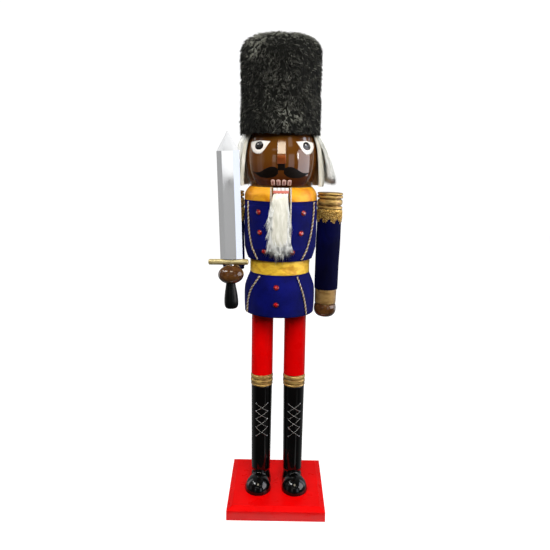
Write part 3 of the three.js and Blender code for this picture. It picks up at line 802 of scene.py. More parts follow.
MOUSTACHE_PAINT = enamel("moustache_paint", rgb(14, 7, 3), rgb(8, 4, 2), 0.5, 0.0, 0.12)
TOOTH_PAINT = enamel("tooth_paint", rgb(254, 251, 248), rgb(248, 238, 234))
UPPER_TOOTH_PAINT = enamel("upper_tooth_paint", rgb(222, 180, 168), rgb(204, 160, 148))
TOOTH_MIDDLE_PAINT = enamel("tooth_middle_paint", rgb(160, 112, 106), rgb(136, 90, 86))
LIP_PAINT = enamel("lip_paint", rgb(226, 140, 124), rgb(204, 104, 92))
BLADE_PAINT = blade_paint()


# ---------- stage, lights and camera ----------
def floor():
    """A pale floor that melts into the background. It lights nothing and stays out of reflections."""
    finish = Finish("floor", Roughness=0.8, Emission_Strength=0.93)
    finish.shader.inputs["Emission Color"].default_value = (1, 1, 1, 1)
    finish.colour_by(finish.noise(3, 2), (0.0, rgb(150, 150, 150)), (1.0, rgb(160, 160, 160)))
    half = 6
    corners = [(-half, -half, 0), (half, -half, 0), (half, half, 0), (-half, half, 0)]
    made = mesh_object("floor", corners, [(0, 1, 2, 3)], finish.material, smooth=False)
    made.visible_glossy = False
    made.visible_diffuse = False


def surroundings():
    """A studio that is pure white to the camera. As a light source it is dim, and dark in front."""
    world = bpy.data.worlds.new("studio")
    bpy.context.scene.world = world
    world.use_nodes = True
    nodes, links = world.node_tree.nodes, world.node_tree.links
    glow = nodes["Background"]
    glow.inputs["Color"].default_value = (1, 1, 1, 1)
    direction = nodes.new("ShaderNodeSeparateXYZ")
    links.new(nodes.new("ShaderNodeTexCoord").outputs["Generated"], direction.inputs[0])
    front_to_back = {"From Min": -0.5, "From Max": 0.8, "To Min": 0.03, "To Max": 0.3}
    room = new_node(nodes, "ShaderNodeMapRange", front_to_back)
    links.new(direction.outputs["Y"], room.inputs["Value"])
    strength = new_node(nodes, "ShaderNodeMapRange", {"To Max": 1.05})
    links.new(nodes.new("ShaderNodeLightPath").outputs["Is Camera Ray"], strength.inputs["Value"])
    links.new(room.outputs["Result"], strength.inputs["To Min"])
    links.new(strength.outputs["Result"], glow.inputs["Strength"])


WARM = (1.0, 0.9, 0.71)
WHITE = (1.0, 1.0, 1.0)
ROSE = (1.0, 0.95, 0.99)
PALE_BLUE = (0.8, 0.88, 1.0)
PALE_LAVENDER = (0.84, 0.9, 1.06)


def lamp(name, bearing, height, distance, size, glow, tint=WHITE, target=0.7, in_gloss=True, in_matt=True):
    """A soft box of a given brightness, its bearing in degrees from the front towards the figure's left."""
    data = bpy.data.lights.new(name, "AREA")
    data.shape = "RECTANGLE"
    data.size, data.size_y = size
    data.energy = glow * math.pi * size[0] * size[1]
    data.color = tint
    made = placed(name, data)
    made.location = polar(math.radians(bearing), distance, height)
    made.rotation_euler = (Vector((0, 0, target)) - made.location).to_track_quat("-Z", "Y").to_euler()
    made.visible_camera = False
    made.visible_glossy = in_gloss
    made.visible_diffuse = in_matt
    return made


def panel(name, bearing, height, distance, size, glow, tint=WHITE):
    """A lamp that shows only as a reflection."""
    lamp(name, bearing, height, distance, size, glow, tint, height, in_matt=False)


def floor_card(name, place, turn, size, glow):
    """A bright card on the floor that shows only as a reflection low down in the gloss."""
    card = lamp(name, 0, 0, 0, size, glow, in_matt=False)
    card.location = (*place, 0.001)
    card.rotation_euler = (math.radians(180), 0, math.radians(turn))


def studio_lights():
    """Each lamp's bearing, height, distance, size and brightness, then a tint and the height it aims at."""
    lamp("skylight", 3, 5.3, 3.5, (1.6, 1.5), 9, WARM, 0.6)
    lamp("skylight_left", -56, 4.9, 3.5, (1.4, 0.8), 22, WHITE, 0.6)
    lamp("soft_fill", 8, 2.7, 2.8, (2.2, 2.2), 7.9, WHITE, 0.6, in_gloss=False)
    lamp("overhead", 0, 4.0, 0.4, (2.0, 2.0), 1.4, WHITE, 0, in_gloss=False)
    lamp("side_fill_right", 72, 1.2, 1.8, (1.0, 0.7), 1.5, WHITE, 0.8, in_gloss=False)
    lamp("side_light_left", -115, 0.9, 1.9, (0.6, 1.9), 1.4, WHITE, 0.9)
    lamp("side_light_right", 115, 0.9, 1.9, (0.6, 1.9), 1.6, PALE_BLUE, 0.9)
    lamp("hair_light", 75, 1.3, 0.95, (0.3, 0.3), 7, WHITE, 0.93, in_gloss=False)
    panel("window_left", -80, 2.5, 2.1, (1.5, 0.45), 9)
    panel("window_right", 76, 0.87, 1.8, (1.5, 1.15), 4.3, ROSE)
    panel("window_right_high", 82, 1.65, 1.8, (0.9, 0.3), 6, PALE_BLUE)
    panel("window_edge", 52, 1.08, 1.75, (0.06, 0.26), 40)
    panel("low_panel_left", -73, 0.55, 2.6, (0.8, 1.0), 0.27)
    panel("low_panel_middle", -23, 0.42, 2.65, (0.55, 0.6), 0.34)
    panel("bright_panel_middle", -23, 0.965, 2.65, (0.5, 0.4), 1.3)
    panel("low_panel_right", 31, 0.67, 2.53, (0.8, 1.1), 1.25, PALE_LAVENDER)
    panel("high_strip", -10, 1.74, 2.6, (2.0, 0.26), 1.1)
    panel("tip_panel_left", -77, 1.95, 2.6, (0.7, 0.6), 0.85)
    panel("tip_panel_right", 30, 2.45, 2.6, (0.7, 0.6), 1.1)
    floor_card("front_card", (0, -0.141), 0, (0.3, 0.026), 5)
    floor_card("boot_card", (0.29, -0.34), -50, (0.6, 0.05), 0.6)


def camera():
    data = bpy.data.cameras.new("camera")
    data.lens = CAMERA_LENS
    data.sensor_width = 36
    data.shift_x, data.shift_y = CAMERA_SHIFT
    made = placed("camera", data)
    aim = spun(90 - CAMERA_DOWN, "X") @ spun(CAMERA_ROLL, "Z")
    made.matrix_world = Matrix.Translation(CAMERA_PLACE) @ aim
    bpy.context.scene.camera = made


# ---------- base, feet and legs ----------
def build_base():
    soften_edges("base_board", 1.6 * MM)
    paint("base_board", RED_GLOSS)


def ellipsoid(centre, radii, around=64, up=32):
    """The vertices and faces of a closed egg shape."""
    vertices, faces = [Vector(centre) - Vector((0, 0, radii[2]))], []
    for j in range(1, up):
        lift = -math.pi / 2 + math.pi * j / up
        for angle in even_angles(around):
            offset = (math.cos(lift) * math.cos(angle), math.cos(lift) * math.sin(angle), math.sin(lift))
            vertices.append(Vector(c + r * o for c, r, o in zip(centre, radii, offset)))
    vertices.append(Vector(centre) + Vector((0, 0, radii[2])))
    for i in range(around):
        after = (i + 1) % around
        faces.append((0, 1 + after, 1 + i))
        for j in range(up - 2):
            low = 1 + j * around
            faces.append((low + i, low + after, low + around + after, low + around + i))
        last = 1 + (up - 2) * around
        faces.append((last + i, last + after, len(vertices) - 1))
    return vertices, faces


def build_foot(name, sign):
    """A round toe cap blended into the ankle, its sole flat on the board."""
    low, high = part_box(f"{name}_foot")
    leg_x = middle_x(f"{name}_boot")
    toe_x = leg_x + sign * 6 * MM
    toe_y = low.y + 39 * MM
    parts = [
        ellipsoid((toe_x, toe_y, low.z), (35 * MM, 39 * MM, 38 * MM)),
        ellipsoid((leg_x, 0, low.z), (28 * MM, 28.5 * MM, high.z - low.z + 26 * MM)),
    ]
    shoe = joined(f"{name}_shoe", parts, BLACK_GLOSS)
    modify(shoe, "REMESH", mode="VOXEL", voxel_size=1.2 * MM)
    modify(shoe, "SMOOTH", iterations=14, factor=0.6)
    apply_modifiers(shoe)
    clear = 200 * MM  # well past the shoe
    below = (-clear, -clear, -clear), (clear, clear, low.z)
    above = (-clear, -clear, high.z), (clear, clear, high.z + clear)
    cut_boxes(shoe, below, above)
    shoe.data.polygons.foreach_set("use_smooth", [True] * len(shoe.data.polygons))
    modify(shoe, "EDGE_SPLIT", split_angle=math.radians(50))
    fit(apply_modifiers(shoe), "figure", "black_gloss", f"{name}_foot")


# The boot's gold band: radius and height above its lower edge. Two round beads stand over a rim.
GARTER = [
    (27.4, 0), (29.2, 0.6), (29.4, 3.4), (26.6, 5.4), (26.8, 7),
    (29.6, 8), (30, 12), (29.4, 16), (26.6, 17.6),
    (26.6, 19), (29.6, 20.4), (30, 24.5), (29.2, 28.2), (27.2, 29.4), (27.6, 31),
]
BOOT_EYELET_HEIGHTS = [271, 249, 227, 203.5, 178]
EYELET_DEGREES = (-30, 38)


def build_laces(name, boot):
    """Five pairs of silver eyelets with a crossed lace between them."""
    eyelets = []
    for z in BOOT_EYELET_HEIGHTS:
        for degrees in EYELET_DEGREES:
            spot = boot.upright(degrees, z * MM)
            bead_vertices, bead_faces = ellipsoid((0, 0, 0), (2 * MM, 2 * MM, 1.3 * MM), 16, 8)
            eyelets.append(([spot @ vertex for vertex in bead_vertices], bead_faces))
    fit(joined(f"{name}_eyelets", eyelets, STEEL), "figure", "steel")
    laces = []
    left, right = EYELET_DEGREES
    for upper, lower in zip(BOOT_EYELET_HEIGHTS, BOOT_EYELET_HEIGHTS[1:]):
        for start, end, stand in ((left, right, 1.1), (right, left, 0.5)):
            route = [
                boot.point(start + (end - start) * t, (upper + (lower - upper) * t) * MM, stand * MM)
                for t in np.linspace(0, 1, 12)
            ]
            laces.append(tube(route, 0.5 * MM, 6))
    fit(joined(f"{name}_laces", laces, LACE_THREAD), "figure", "braid")


def build_leg(name, sign):
    """A boot's shaft with its laces and gold band, the leg above it and the shoe below."""
    axis = Matrix.Translation((middle_x(f"{name}_leg"), 0, 0))
    boot_outline = outline_of(f"{name}_boot", axis)
    shaft = lathe(f"{name}_boot_shaft", curve_through(boot_outline), BLACK_GLOSS, axis)
    fit(shaft, "figure", "black_gloss", f"{name}_boot")
    build_laces(name, Turned(boot_outline, axis))
    foot_of_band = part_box(f"{name}_boot_band")[0].z / MM
    band = rounded(in_metres([(r, foot_of_band + up) for r, up in GARTER]), 1.6 * MM)
    fit(lathe(f"{name}_garter", band, GOLD_PAINT, axis), "figure", "gold_paint", f"{name}_boot_band")
    trouser = rounded(outline_of(f"{name}_leg", axis), 1 * MM)
    fit(lathe(f"{name}_trouser", trouser, RED_GLOSS, axis), "figure", "red_gloss", f"{name}_leg")
    build_foot(name, sign)


# ---------- coat ----------
CHEST = Turned(curve_through(outline_of("coat_chest")))
SKIRT = Turned(curve_through(outline_of("coat_skirt")))
COLLAR = Turned(rounded(outline_of("collar"), 4 * MM))
HEAD = Turned(curve_through(outline_of("head_block", bore=0.8)))
SLOT_HALF_WIDTH = 21.3
SLOT_FLOOR = 700
CLOTH = 2  # thickness


def round_spot(angle, scale, height):
    """A place in a noise field that closes on itself round the axis."""
    return Vector((math.cos(angle) * scale, math.sin(angle) * scale, height))


def cloth_ripple(amount, round_scale, up_scale, seed):
    """A radius function that lets cloth stand off in soft ripples."""
    def shape(angle, r, z):
        return r + amount * noise.noise(round_spot(angle, round_scale, z * up_scale + seed))
    return shape


def slot_boxes(top):
    """The slot's room: open in front, and a window below the collar at the back."""
    half = SLOT_HALF_WIDTH * MM
    floor_height = SLOT_FLOOR * MM
    clear = 130 * MM  # well past the coat
    window_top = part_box("coat_chest")[1].z - 1 * MM
    return [
        ((-half, -clear, floor_height), (half, 60 * MM, top)),
        ((-half, 55 * MM, floor_height), (half, clear, window_top)),
    ]


ABOVE_COLLAR = 900 * MM


def build_coat():
    """The felt glued round the hips and the chest."""
    ripple = cloth_ripple(0.5 * MM, 2.2, 18, 3)
    skirt = wrapping("skirt_felt", SKIRT.outline(), CLOTH * MM, FELT, 128, ripple)
    fit(skirt, "figure", "coat_cloth", "coat_skirt")
    chest = wrapping("chest_felt", CHEST.outline(), CLOTH * MM, FELT, 128, ripple)
    cut_boxes(chest, *slot_boxes(ABOVE_COLLAR))
    fit(chest, "figure", "coat_cloth", "coat_chest")


def build_ribbons():
    """The belt's crushed lame and the collar's satin."""
    low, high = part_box("belt")

    def crushed(angle, r, z):
        spot = round_spot(angle, 5, z * 90)
        fold = noise.noise(spot) + 0.5 * noise.noise(spot * 2.3)
        return r + 0.9 * MM * fold

    wall = [(high.x, low.z + (high.z - low.z) * t) for t in np.linspace(0, 1, 30)]
    belt = wrapping("belt_ribbon", wall, CLOTH * MM * 0.8, BELT_LAME, 240, crushed)
    fit(belt, "figure", "ribbon", "belt")
    ripple = cloth_ripple(0.7 * MM, 4, 40, 9)
    collar_wall = resampled(COLLAR.outline(), 1.5 * MM)
    collar = wrapping("collar_ribbon", collar_wall, CLOTH * MM, COLLAR_SATIN, 160, ripple)
    cut_boxes(collar, slot_boxes(ABOVE_COLLAR)[0])
    fit(collar, "figure", "ribbon", "collar")


# Places on the coat are degrees from the front, towards the figure's left, and heights.
CHEST_PIPING = {
    "left": [(61, 814), (58.5, 776), (53.8, 739), (46.5, 705), (38, 671)],
    "right": [(-59, 814), (-57.5, 776), (-54.5, 739), (-47.8, 703), (-39.9, 671)],
}
SKIRT_PIPING = {
    "left": [(33.5, 627), (37.3, 596), (43.3, 561), (47.6, 529)],
    "right": [(-38.8, 627), (-50.4, 593), (-58.4, 561), (-62.2, 529)],
}
PIPING_RADIUS = 2.3
PIPING_STAND = (PIPING_RADIUS + 0.3) * MM  # from the cloth to the cord's middle


def piping(name, surface, places, node):
    """A laid cord over the cloth through (degrees, height) places."""
    route = [surface.point(degrees, z * MM, PIPING_STAND) for degrees, z in curve_through(places, 8)]
    cord = twisted_cord(name, route, PIPING_RADIUS * MM, (SILVER_THREAD, GOLD_THREAD))
    fit(cord, "figure", "braid", node)


def build_slot_braid():
    """The braid up both edges of the slot, over the collar, and round under the slot's floor."""
    edge = 24.2 * MM
    collar_bottom, collar_top = (corner.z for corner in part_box("collar"))

    def at(x, z):
        surface = COLLAR if z > collar_bottom else CHEST
        r = surface.radius(z) + PIPING_STAND
        return Vector((x, -math.sqrt(r * r - x * x), z))

    corner = (SLOT_FLOOR + 4) * MM
    down = [at(-edge, z) for z in np.linspace(collar_top, corner + 4 * MM, 30)]
    under = [at(x * MM, corner + z * MM) for x, z in ((-19, -5), (-10, -8.4), (0, -9), (10, -8.4), (19, -5))]
    up = [at(edge, z) for z in np.linspace(corner + 4 * MM, collar_top, 30)]
    route = curve_through([*down, *under, *up], 3)
    cord = twisted_cord("slot_braid", route, PIPING_RADIUS * MM, (SILVER_THREAD, SILVER_THREAD))
    fit(cord, "figure", "braid", "slot_piping")


CHEST_BUTTONS = [(-35.5, 790), (-33, 740), (-25, 693), (37, 789), (33.3, 739), (19, 692)]
SKIRT_BUTTONS = [(-5, 603), (-5, 560)]


def gem(name, node, spot):
    """An oval faceted stone in a low dark setting."""
    width = 6.7 * MM
    height = 5.9 * MM
    facets = 10
    rows = [(0.94, 0.0), (1.0, 1.3), (0.72, 3.3), (0.42, 4.1)]  # share of the size, and rise
    vertices, faces = [], []
    for share, rise in rows:
        for i in range(facets):
            angle = 2 * math.pi * (i + 0.5 * (rise > 2)) / facets
            across = share * width * math.cos(angle)
            up = share * height * math.sin(angle)
            vertices.append(spot @ Vector((across, up, rise * MM)))
    for row in range(len(rows) - 1):
        for i in range(facets):
            a, b = row * facets + i, row * facets + (i + 1) % facets
            if rows[row + 1][1] > 2 > rows[row][1]:
                faces.extend([(a, b, a + facets), (b, b + facets, a + facets)])
            else:
                faces.append((a, b, b + facets, a + facets))
    faces.append(tuple(range((len(rows) - 1) * facets, len(rows) * facets)))
    faces.append(tuple(reversed(range(facets))))
    stone = mesh_object(name, vertices, faces, GEM, smooth=False)
    fit(stone, "figure", "gem", node)
    ring = [
        spot @ Vector(((width + 0.4 * MM) * math.cos(t), (height + 0.4 * MM) * math.sin(t), 0.8 * MM))
        for t in np.linspace(0, 2 * math.pi, 33)
    ]
    setting = joined(f"{name}_setting", [tube(ring, 0.9 * MM, 8)], GEM_SETTING)
    fit(setting, "figure", "gem")


def build_trim():
    """The coat's piping, the slot's braid and the two sets of buttons."""
    for side in ("left", "right"):
        piping(f"chest_cord_{side}", CHEST, CHEST_PIPING[side], f"chest_piping_{side}")
        piping(f"skirt_cord_{side}", SKIRT, SKIRT_PIPING[side], f"skirt_piping_{side}")
    build_slot_braid()
    for kind, surface, places in (("chest", CHEST, CHEST_BUTTONS), ("skirt", SKIRT, SKIRT_BUTTONS)):
        for i, (degrees, z) in enumerate(places, 1):
            gem(f"{kind}_gem_{i}", f"{kind}_button_{i}", surface.upright(degrees, z * MM))


# ---------- head ----------
def on_head(spot, lift):
    """A place on the head by degrees from the painted face's middle."""
    degrees, z = spot
    return HEAD.point(degrees + FACE_TURN, z * MM, lift)


def mirrored(places, sign):
    return [(degrees * sign, z) for degrees, z in places]


EYE_TOP = [(21, 962.5), (43, 964.5), (65, 961)]
EYE_BOTTOM = [
    (65, 961), (61.5, 949), (54.4, 938.5), (45, 932),
    (37, 932.6), (31, 940), (26, 951.5), (21, 962.5),
]
IRIS = (41, 951.8)
IRIS_RADIUS = 11.4


def disc(centre, radius, surface_radius, stretch=1.3):
    """A spot on the head that looks round from the front, in degrees and millimetres of height."""
    wide = math.degrees(radius / surface_radius) * stretch
    angles = np.linspace(0, 2 * math.pi, 33)[:-1]
    return [(centre[0] + wide * math.cos(t), centre[1] + radius * math.sin(t)) for t in angles]


def build_eye(name, sign):
    """A half-round white with a straight top, and the iris, pupil and glint painted over it."""
    top = curve_through(mirrored(EYE_TOP, sign), 6)[:-1]
    bottom = curve_through(mirrored(EYE_BOTTOM, sign), 6)[:-1]
    around = HEAD.radius(IRIS[1] * MM) / MM
    centre = (IRIS[0] * sign, IRIS[1])
    fit(patch(f"{name}_eye_white", [*top, *bottom], on_head, EYE_WHITE, 0.5 * MM), "figure", "skin_paint")
    for part, radius, material, rise in (
        ("iris", IRIS_RADIUS, EYE_BLACK, 0.8),
        ("iris_ring", 8.4, EYE_RING, 1.0),
        ("pupil", 6.2, EYE_BLACK, 1.2),
    ):
        spot = patch(f"{name}_eye_{part}", disc(centre, radius, around), on_head, material, rise * MM)
        fit(spot, "figure", "black_gloss")
    glint = disc((centre[0] - 2.4, centre[1] + 3.4), 1.5, around)
    fit(patch(f"{name}_eye_glint", glint, on_head, TOOTH_PAINT, 1.4 * MM), "figure", "skin_paint")


# The moustache's half on the figure's left, in degrees from the front and heights. The other mirrors it.
MOUSTACHE_MIDDLE = -0.5
MOUSTACHE_TOP = [(4.4, 894), (7, 899), (12, 901.5), (18, 901), (26, 895.5), (34, 889), (43, 887), (54, 890)]
MOUSTACHE_BOTTOM = [(54, 890), (44, 882), (36, 876.5), (27, 874.2), (18, 874.6), (10, 878), (4.4, 885)]
STEM = [(-4.8, 909), (4.8, 909), (6, 898), (5, 893), (-5, 893), (-6, 898)]
UPPER_TOOTH_DEGREES = [-13.9, -4.5, 4.8, 14.2]
LOWER_TEETH = 4
LOWER_TOOTH_SPACING = 9.7


def strip_patch(name, top, bottom, surface, material, rise):
    """A raised piece between two curves that meet at both ends, such as half a moustache."""
    across = 8
    rings = []
    for a, b in zip(top, bottom):
        a, b = Vector(a), Vector(b)
        row = [a.lerp(b, (1 - math.cos(math.pi * i / across)) / 2) for i in range(across + 1)]
        thick = min(1.0, (row[0] - row[-1]).length / 12)
        front = [surface(spot, rise * thick * math.sin(math.pi * i / across)) for i, spot in enumerate(row)]
        back = [surface(spot, -0.4 * MM) for spot in reversed(row)]
        rings.append(front + back)
    return closed_piece(name, *stacked(rings), material)


def straight_on(spot, lift):
    """A place on the head by degrees from the figure's own front."""
    return HEAD.point(spot[0], spot[1] * MM, lift)


def build_moustache():
    """Two drooping halves and the stem between them, under the nose."""
    top = resampled(curve_through(MOUSTACHE_TOP, 8), count=48)
    bottom = resampled(reversed(curve_through(MOUSTACHE_BOTTOM, 8)), count=48)
    for name, sign in SIDES:
        places = [[(degrees * sign + MOUSTACHE_MIDDLE, z) for degrees, z in edge] for edge in (top, bottom)]
        half = strip_patch(f"moustache_{name}", *places, straight_on, MOUSTACHE_PAINT, 0.45 * MM)
        fit(half, "figure", "black_gloss")
    stem = patch("moustache_stem", rounded_loop(STEM, 1.2), straight_on, MOUSTACHE_PAINT, 0.7 * MM)
    fit(stem, "figure", "black_gloss")


def tooth_outline(middle, half_width, low, high):
    """A tooth with a round top and a nearly square foot."""
    left = middle - half_width
    right = middle + half_width
    shoulder_z = high - half_width * 0.9
    arch = [
        (middle + half_width * math.cos(t), shoulder_z + (high - shoulder_z) * math.sin(t))
        for t in np.linspace(0, math.pi, 15)
    ]
    return [(left, low + 1), (left + 0.8, low), (right - 0.8, low), (right, low + 1), *arch]


def on_jaw(spot, lift):
    """A place on the jaw's flat front."""
    x, z = spot
    return Vector((x * MM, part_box("jaw_lever")[0].y - lift, z * MM))


def bar(middle, half_width, low, high):
    """A flat bar's outline, its corners rounded."""
    left = middle - half_width
    right = middle + half_width
    return rounded_loop([(left, low), (right, low), (right, high), (left, high)], 1.4)


def build_mouth():
    """Upper teeth with darker middles on the head, lower teeth and a lip on the jaw."""
    for i, degrees in enumerate(UPPER_TOOTH_DEGREES, 1):
        for part, half_width, low, high, material, rise in (
            ("tooth", 3.5, 855.8, 870.5, UPPER_TOOTH_PAINT, 1.5),
            ("tooth_middle", 1.9, 857.5, 866.5, TOOTH_MIDDLE_PAINT, 1.7),
        ):
            outline = tooth_outline(degrees, half_width, low, high)
            tooth = patch(f"upper_{part}_{i}", outline, straight_on, material, rise * MM)
            fit(tooth, "figure", "skin_paint")
    for i in range(LOWER_TEETH):
        middle = (i - (LOWER_TEETH - 1) / 2) * LOWER_TOOTH_SPACING
        outline = bar(middle, 4.4, 843.6, 850.8)
        tooth = patch(f"lower_tooth_{i + 1}", outline, on_jaw, TOOTH_PAINT, 1.2 * MM)
        fit(tooth, "jaw", "skin_paint")
    lip = patch("lower_lip", bar(0, 19.4, 837, 844), on_jaw, LIP_PAINT, 0.9 * MM)
    fit(lip, "jaw", "skin_paint")


NOSE_HALF_WIDTH = 10.5
# The nose from the side: distance forward and height, from the brow down to the lip.
NOSE_PROFILE = [
    (84, 970), (89.6, 960.5), (96, 948), (102.4, 935.5),
    (104.9, 930), (105.6, 926), (104.6, 922.5), (94, 908.5),
]


def build_nose():
    """A wedge of wood whose back stands inside the head."""
    profile = [(-forward, z) for forward, z in NOSE_PROFILE] + [(-80, 908.5), (-72, 970)]
    side = NOSE_HALF_WIDTH
    vertices = [Vector((x, y, z)) * MM for x in (-side, side) for y, z in profile]
    count = len(profile)
    faces = [tuple(range(count)), tuple(reversed(range(count, 2 * count)))]
    for i in range(count):
        j = (i + 1) % count
        faces.append((j, i, count + i, count + j))
    nose = closed_piece("nose_wood", vertices, faces, NOSE_PAINT)
    modify(nose, "BEVEL", width=1.3 * MM, segments=3, harden_normals=True)
    fit(nose, "figure", "skin_paint", "nose")


def build_head():
    build_nose()
    fit(lathe("head_wood", HEAD.outline(), SKIN, sides=160), "figure", "skin_paint", "head_block")
    for name, sign in SIDES:
        build_eye(name, sign)
    build_moustache()
    build_mouth()


# ---------- fur ----------
HAT_SHIFT = Vector((-4.5, 0, 0)) * MM  # the fur sits a little to the figure's right on its block
TUFT_SPACING = 6.2
HAIRS_IN_TUFT = 4
SPECK_SHARE = 0.07  # of the hairs, those that are pale on their own


def build_hat():
    """Matted black fur: tufts of hairs that share a tip, lying down and round the hat."""
    low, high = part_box("hat_fur")
    radius = high.x
    outline = curve_through(
        [
            (radius - 5 * MM, low.z + 3 * MM),
            (radius - 2.5 * MM, low.z + 14 * MM),
            (radius - 4 * MM, low.z + 110 * MM),
            (radius - 2.5 * MM, high.z - 52 * MM),
            (radius - 6 * MM, high.z - 30 * MM),
            (radius - 18 * MM, high.z - 14 * MM),
            (radius - 44 * MM, high.z - 4 * MM),
            (1 * MM, high.z + 1 * MM),
        ]
    )
    lumps = cloth_ripple(2.5 * MM, 4.5, 45, 5)
    base = lathe("hat_underfur", outline, BLACK_HIDE, Matrix.Translation(HAT_SHIFT), 160, lumps)
    fit(base, "figure", "black_fur", "hat_fur")
    line = resampled([(r, 0, z) for r, z in outline], 1 * MM)
    split = high.z - 40 * MM
    for name, first, last, seed in (("hat_side_fur", 0, split, 11), ("hat_crown_fur", split, high.z, 12)):
        part = np.array([point for point in line if first <= point[2] <= last])
        spines, tones = tufts(part, random.Random(seed), low.z)
        fit(hairs(name, spines, np.full(len(spines), 0.55 * MM), tones, BLACK_FUR), "figure", "black_fur")


# Where highlights are painted pale on the hat's fur: degrees from the front, height, reach round and reach up,
# and how pale.
HIGHLIGHT_PATCHES = [
    (-42, 1188, 15, 24, 1.5),
    (5, 1020, 16, 19, 1.7),
    (-5, 1208, 60, 12, 0.6),
    (0, 1100, 28, 45, 0.22),
    (45, 1060, 14, 60, 0.2),
]


def grey_and_highlight(spot):
    """How grey the hat's fur is at a spot: a random grey, and painted highlights in patches."""
    degrees = math.degrees(math.atan2(spot.x, -spot.y))
    grey = max(0.0, noise.noise(spot * 24 + Vector((0, 3, 0)))) * 0.15
    for middle, z, wide, tall, pale in HIGHLIGHT_PATCHES:
        away = ((degrees - middle) / wide) ** 2 + ((spot.z / MM - z) / tall) ** 2
        grey += pale * math.exp(-away) * max(0.0, 0.7 + noise.noise(spot * 50))
    return grey


def tufts(line, chance, lowest):
    """Hairs in tufts over a turned line. Returns their spines and tones."""
    spacing = TUFT_SPACING * MM
    spread = 2.6 * MM
    spines, tones, places = [], [], []
    for point, after in zip(line, line[1:]):
        length = np.linalg.norm(after - point)
        wanted = 2 * math.pi * point[0] * length / spacing**2
        for _ in range(int(wanted + chance.random())):
            places.append((point, (after - point) / length, chance.uniform(0, 2 * math.pi)))
    for point, slope, angle in places:
        round_way = Vector((math.cos(angle), math.sin(angle), 0))
        radial = polar(angle, 1, 0)
        centre = radial * point[0] + Vector((0, 0, point[2])) + HAT_SHIFT
        down = -(radial * slope[0] + Vector((0, 0, slope[2])))
        out = round_way.cross(-down).normalized()
        swirl = 1.5 * noise.noise(centre * 16) + 1.5 * noise.noise(centre * 60 + Vector((7, 0, 0)))
        way = down * math.cos(swirl) + round_way * math.sin(swirl)
        tip = centre + way * chance.uniform(5, 11) * MM + out * chance.uniform(1.5, 4.5) * MM
        # The hat's random grey, with its painted highlights.
        pale = grey_and_highlight(centre)
        for _ in range(HAIRS_IN_TUFT):
            root = centre + down * chance.gauss(0, spread)
            root += round_way * chance.gauss(0, spread)
            root -= out * 1.5 * MM
            end = tip + Vector((chance.gauss(0, 2 * MM) for _ in range(3)))
            speck = chance.uniform(0.25, 0.7) if chance.random() < SPECK_SHARE else 0
            if end.z < lowest:
                end.z = lowest + chance.uniform(-3, 2) * MM
            middle = root.lerp(end, 0.5) + out * chance.uniform(2, 4) * MM
            spines.append(bent(root, middle, end, 3))
            tones.append(min(0.95, max(0.0, pale + speck + chance.gauss(0, 0.06))))
    return np.array(spines), np.array(tones)


def bent(root, middle, end, points):
    """Points on a curve from root to end that leans towards middle."""
    made = []
    for i in range(points):
        t = i / (points - 1)
        made.append(tuple(root * (1 - t) ** 2 + middle * 2 * t * (1 - t) + end * t**2))
    return made


# Degrees from the front where the hair starts on the figure's left, and where it ends on its right.
HAIR_START = 68
HAIR_END = 293
HAIR_WALL = [(112, 846), (116, 862), (115, 890), (112, 925), (108, 952), (101, 972), (93, 984)]
HAIR_STRANDS = 3200


def build_hair():
    """Long straight white hair from under the hat to the shoulders, round the sides and the back."""
    low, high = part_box("hair")
    top = high.z + 4 * MM
    wall = Turned(curve_through(in_metres(HAIR_WALL)))
    chance = random.Random(21)
    hide_wall = [(wall.radius(z) - 5 * MM, z) for z in np.linspace(low.z - 1 * MM, top, 40)]
    grooves = cloth_ripple(1.6 * MM, 16, 12, 0)
    base = wrapping("hair_backing", hide_wall, 9 * MM, WHITE_HIDE, 220, grooves)
    open_front(base)
    fit(base, "figure", "white_fur", "hair")
    spines, tones, radii = [], [], []
    for _ in range(HAIR_STRANDS):
        degrees = chance.uniform(HAIR_START, HAIR_END)
        edge = min(degrees - HAIR_START, HAIR_END - degrees)
        forward = math.exp(-((edge / 34) ** 2))
        depth = chance.uniform(0, 1) ** 1.5
        flare = (20 if degrees < 180 else 9) * MM * forward * chance.uniform(0.4, 1.0)
        bulge = (10 if degrees < 180 else 1) * MM * forward * (1 - 0.5 * depth)
        drift = chance.gauss(0, 2) + 3 * forward
        start = top - chance.uniform(0, 9) * MM
        below = 0 if degrees < 125 else 8 * MM  # clear of the left epaulette when its arm turns
        end = top - (top - low.z + below) * chance.uniform(0.84, 1.0) ** 0.5
        wave = chance.uniform(0, 6)
        way = 1 if degrees < 180 else -1
        spine = []
        for i in range(7):
            t = i / 6
            z = start + (end - start) * t
            waver = 1.5 - 7 * depth + 1.2 * math.sin(wave + 4 * t)
            stand = waver * MM + flare * t**1.8 + bulge * min(1, 2.5 * t)
            bearing = degrees + way * drift * t + 0.5 * math.sin(2 * wave + 5 * t)
            spine.append(tuple(wall.point(bearing, z, stand)))
        spines.append(spine)
        # Deeper strands get a darker tone: painted shade among the hair.
        tones.append(chance.uniform(0.2, 1.0) * (1 - depth * 0.5))
        radii.append(chance.uniform(0.45, 0.85) * MM)
    strands = hairs("hair_strands", spines, np.array(radii), np.array(tones), WHITE_FUR)
    fit(strands, "figure", "white_fur")


def open_front(piece):
    """Cuts the face's wedge out of a turned ring."""
    reach = 400 * MM  # well past the hair
    corners = []
    for z in (800 * MM, 1050 * MM):
        corners.append((0, 0, z))
        corners.extend(polar(math.radians(degrees), reach, z) for degrees in (HAIR_START, 0, HAIR_END))
    faces = [(3, 2, 1, 0), (4, 5, 6, 7), (0, 1, 5, 4), (1, 2, 6, 5), (2, 3, 7, 6), (3, 0, 4, 7)]
    cut_away(piece, corners, faces)


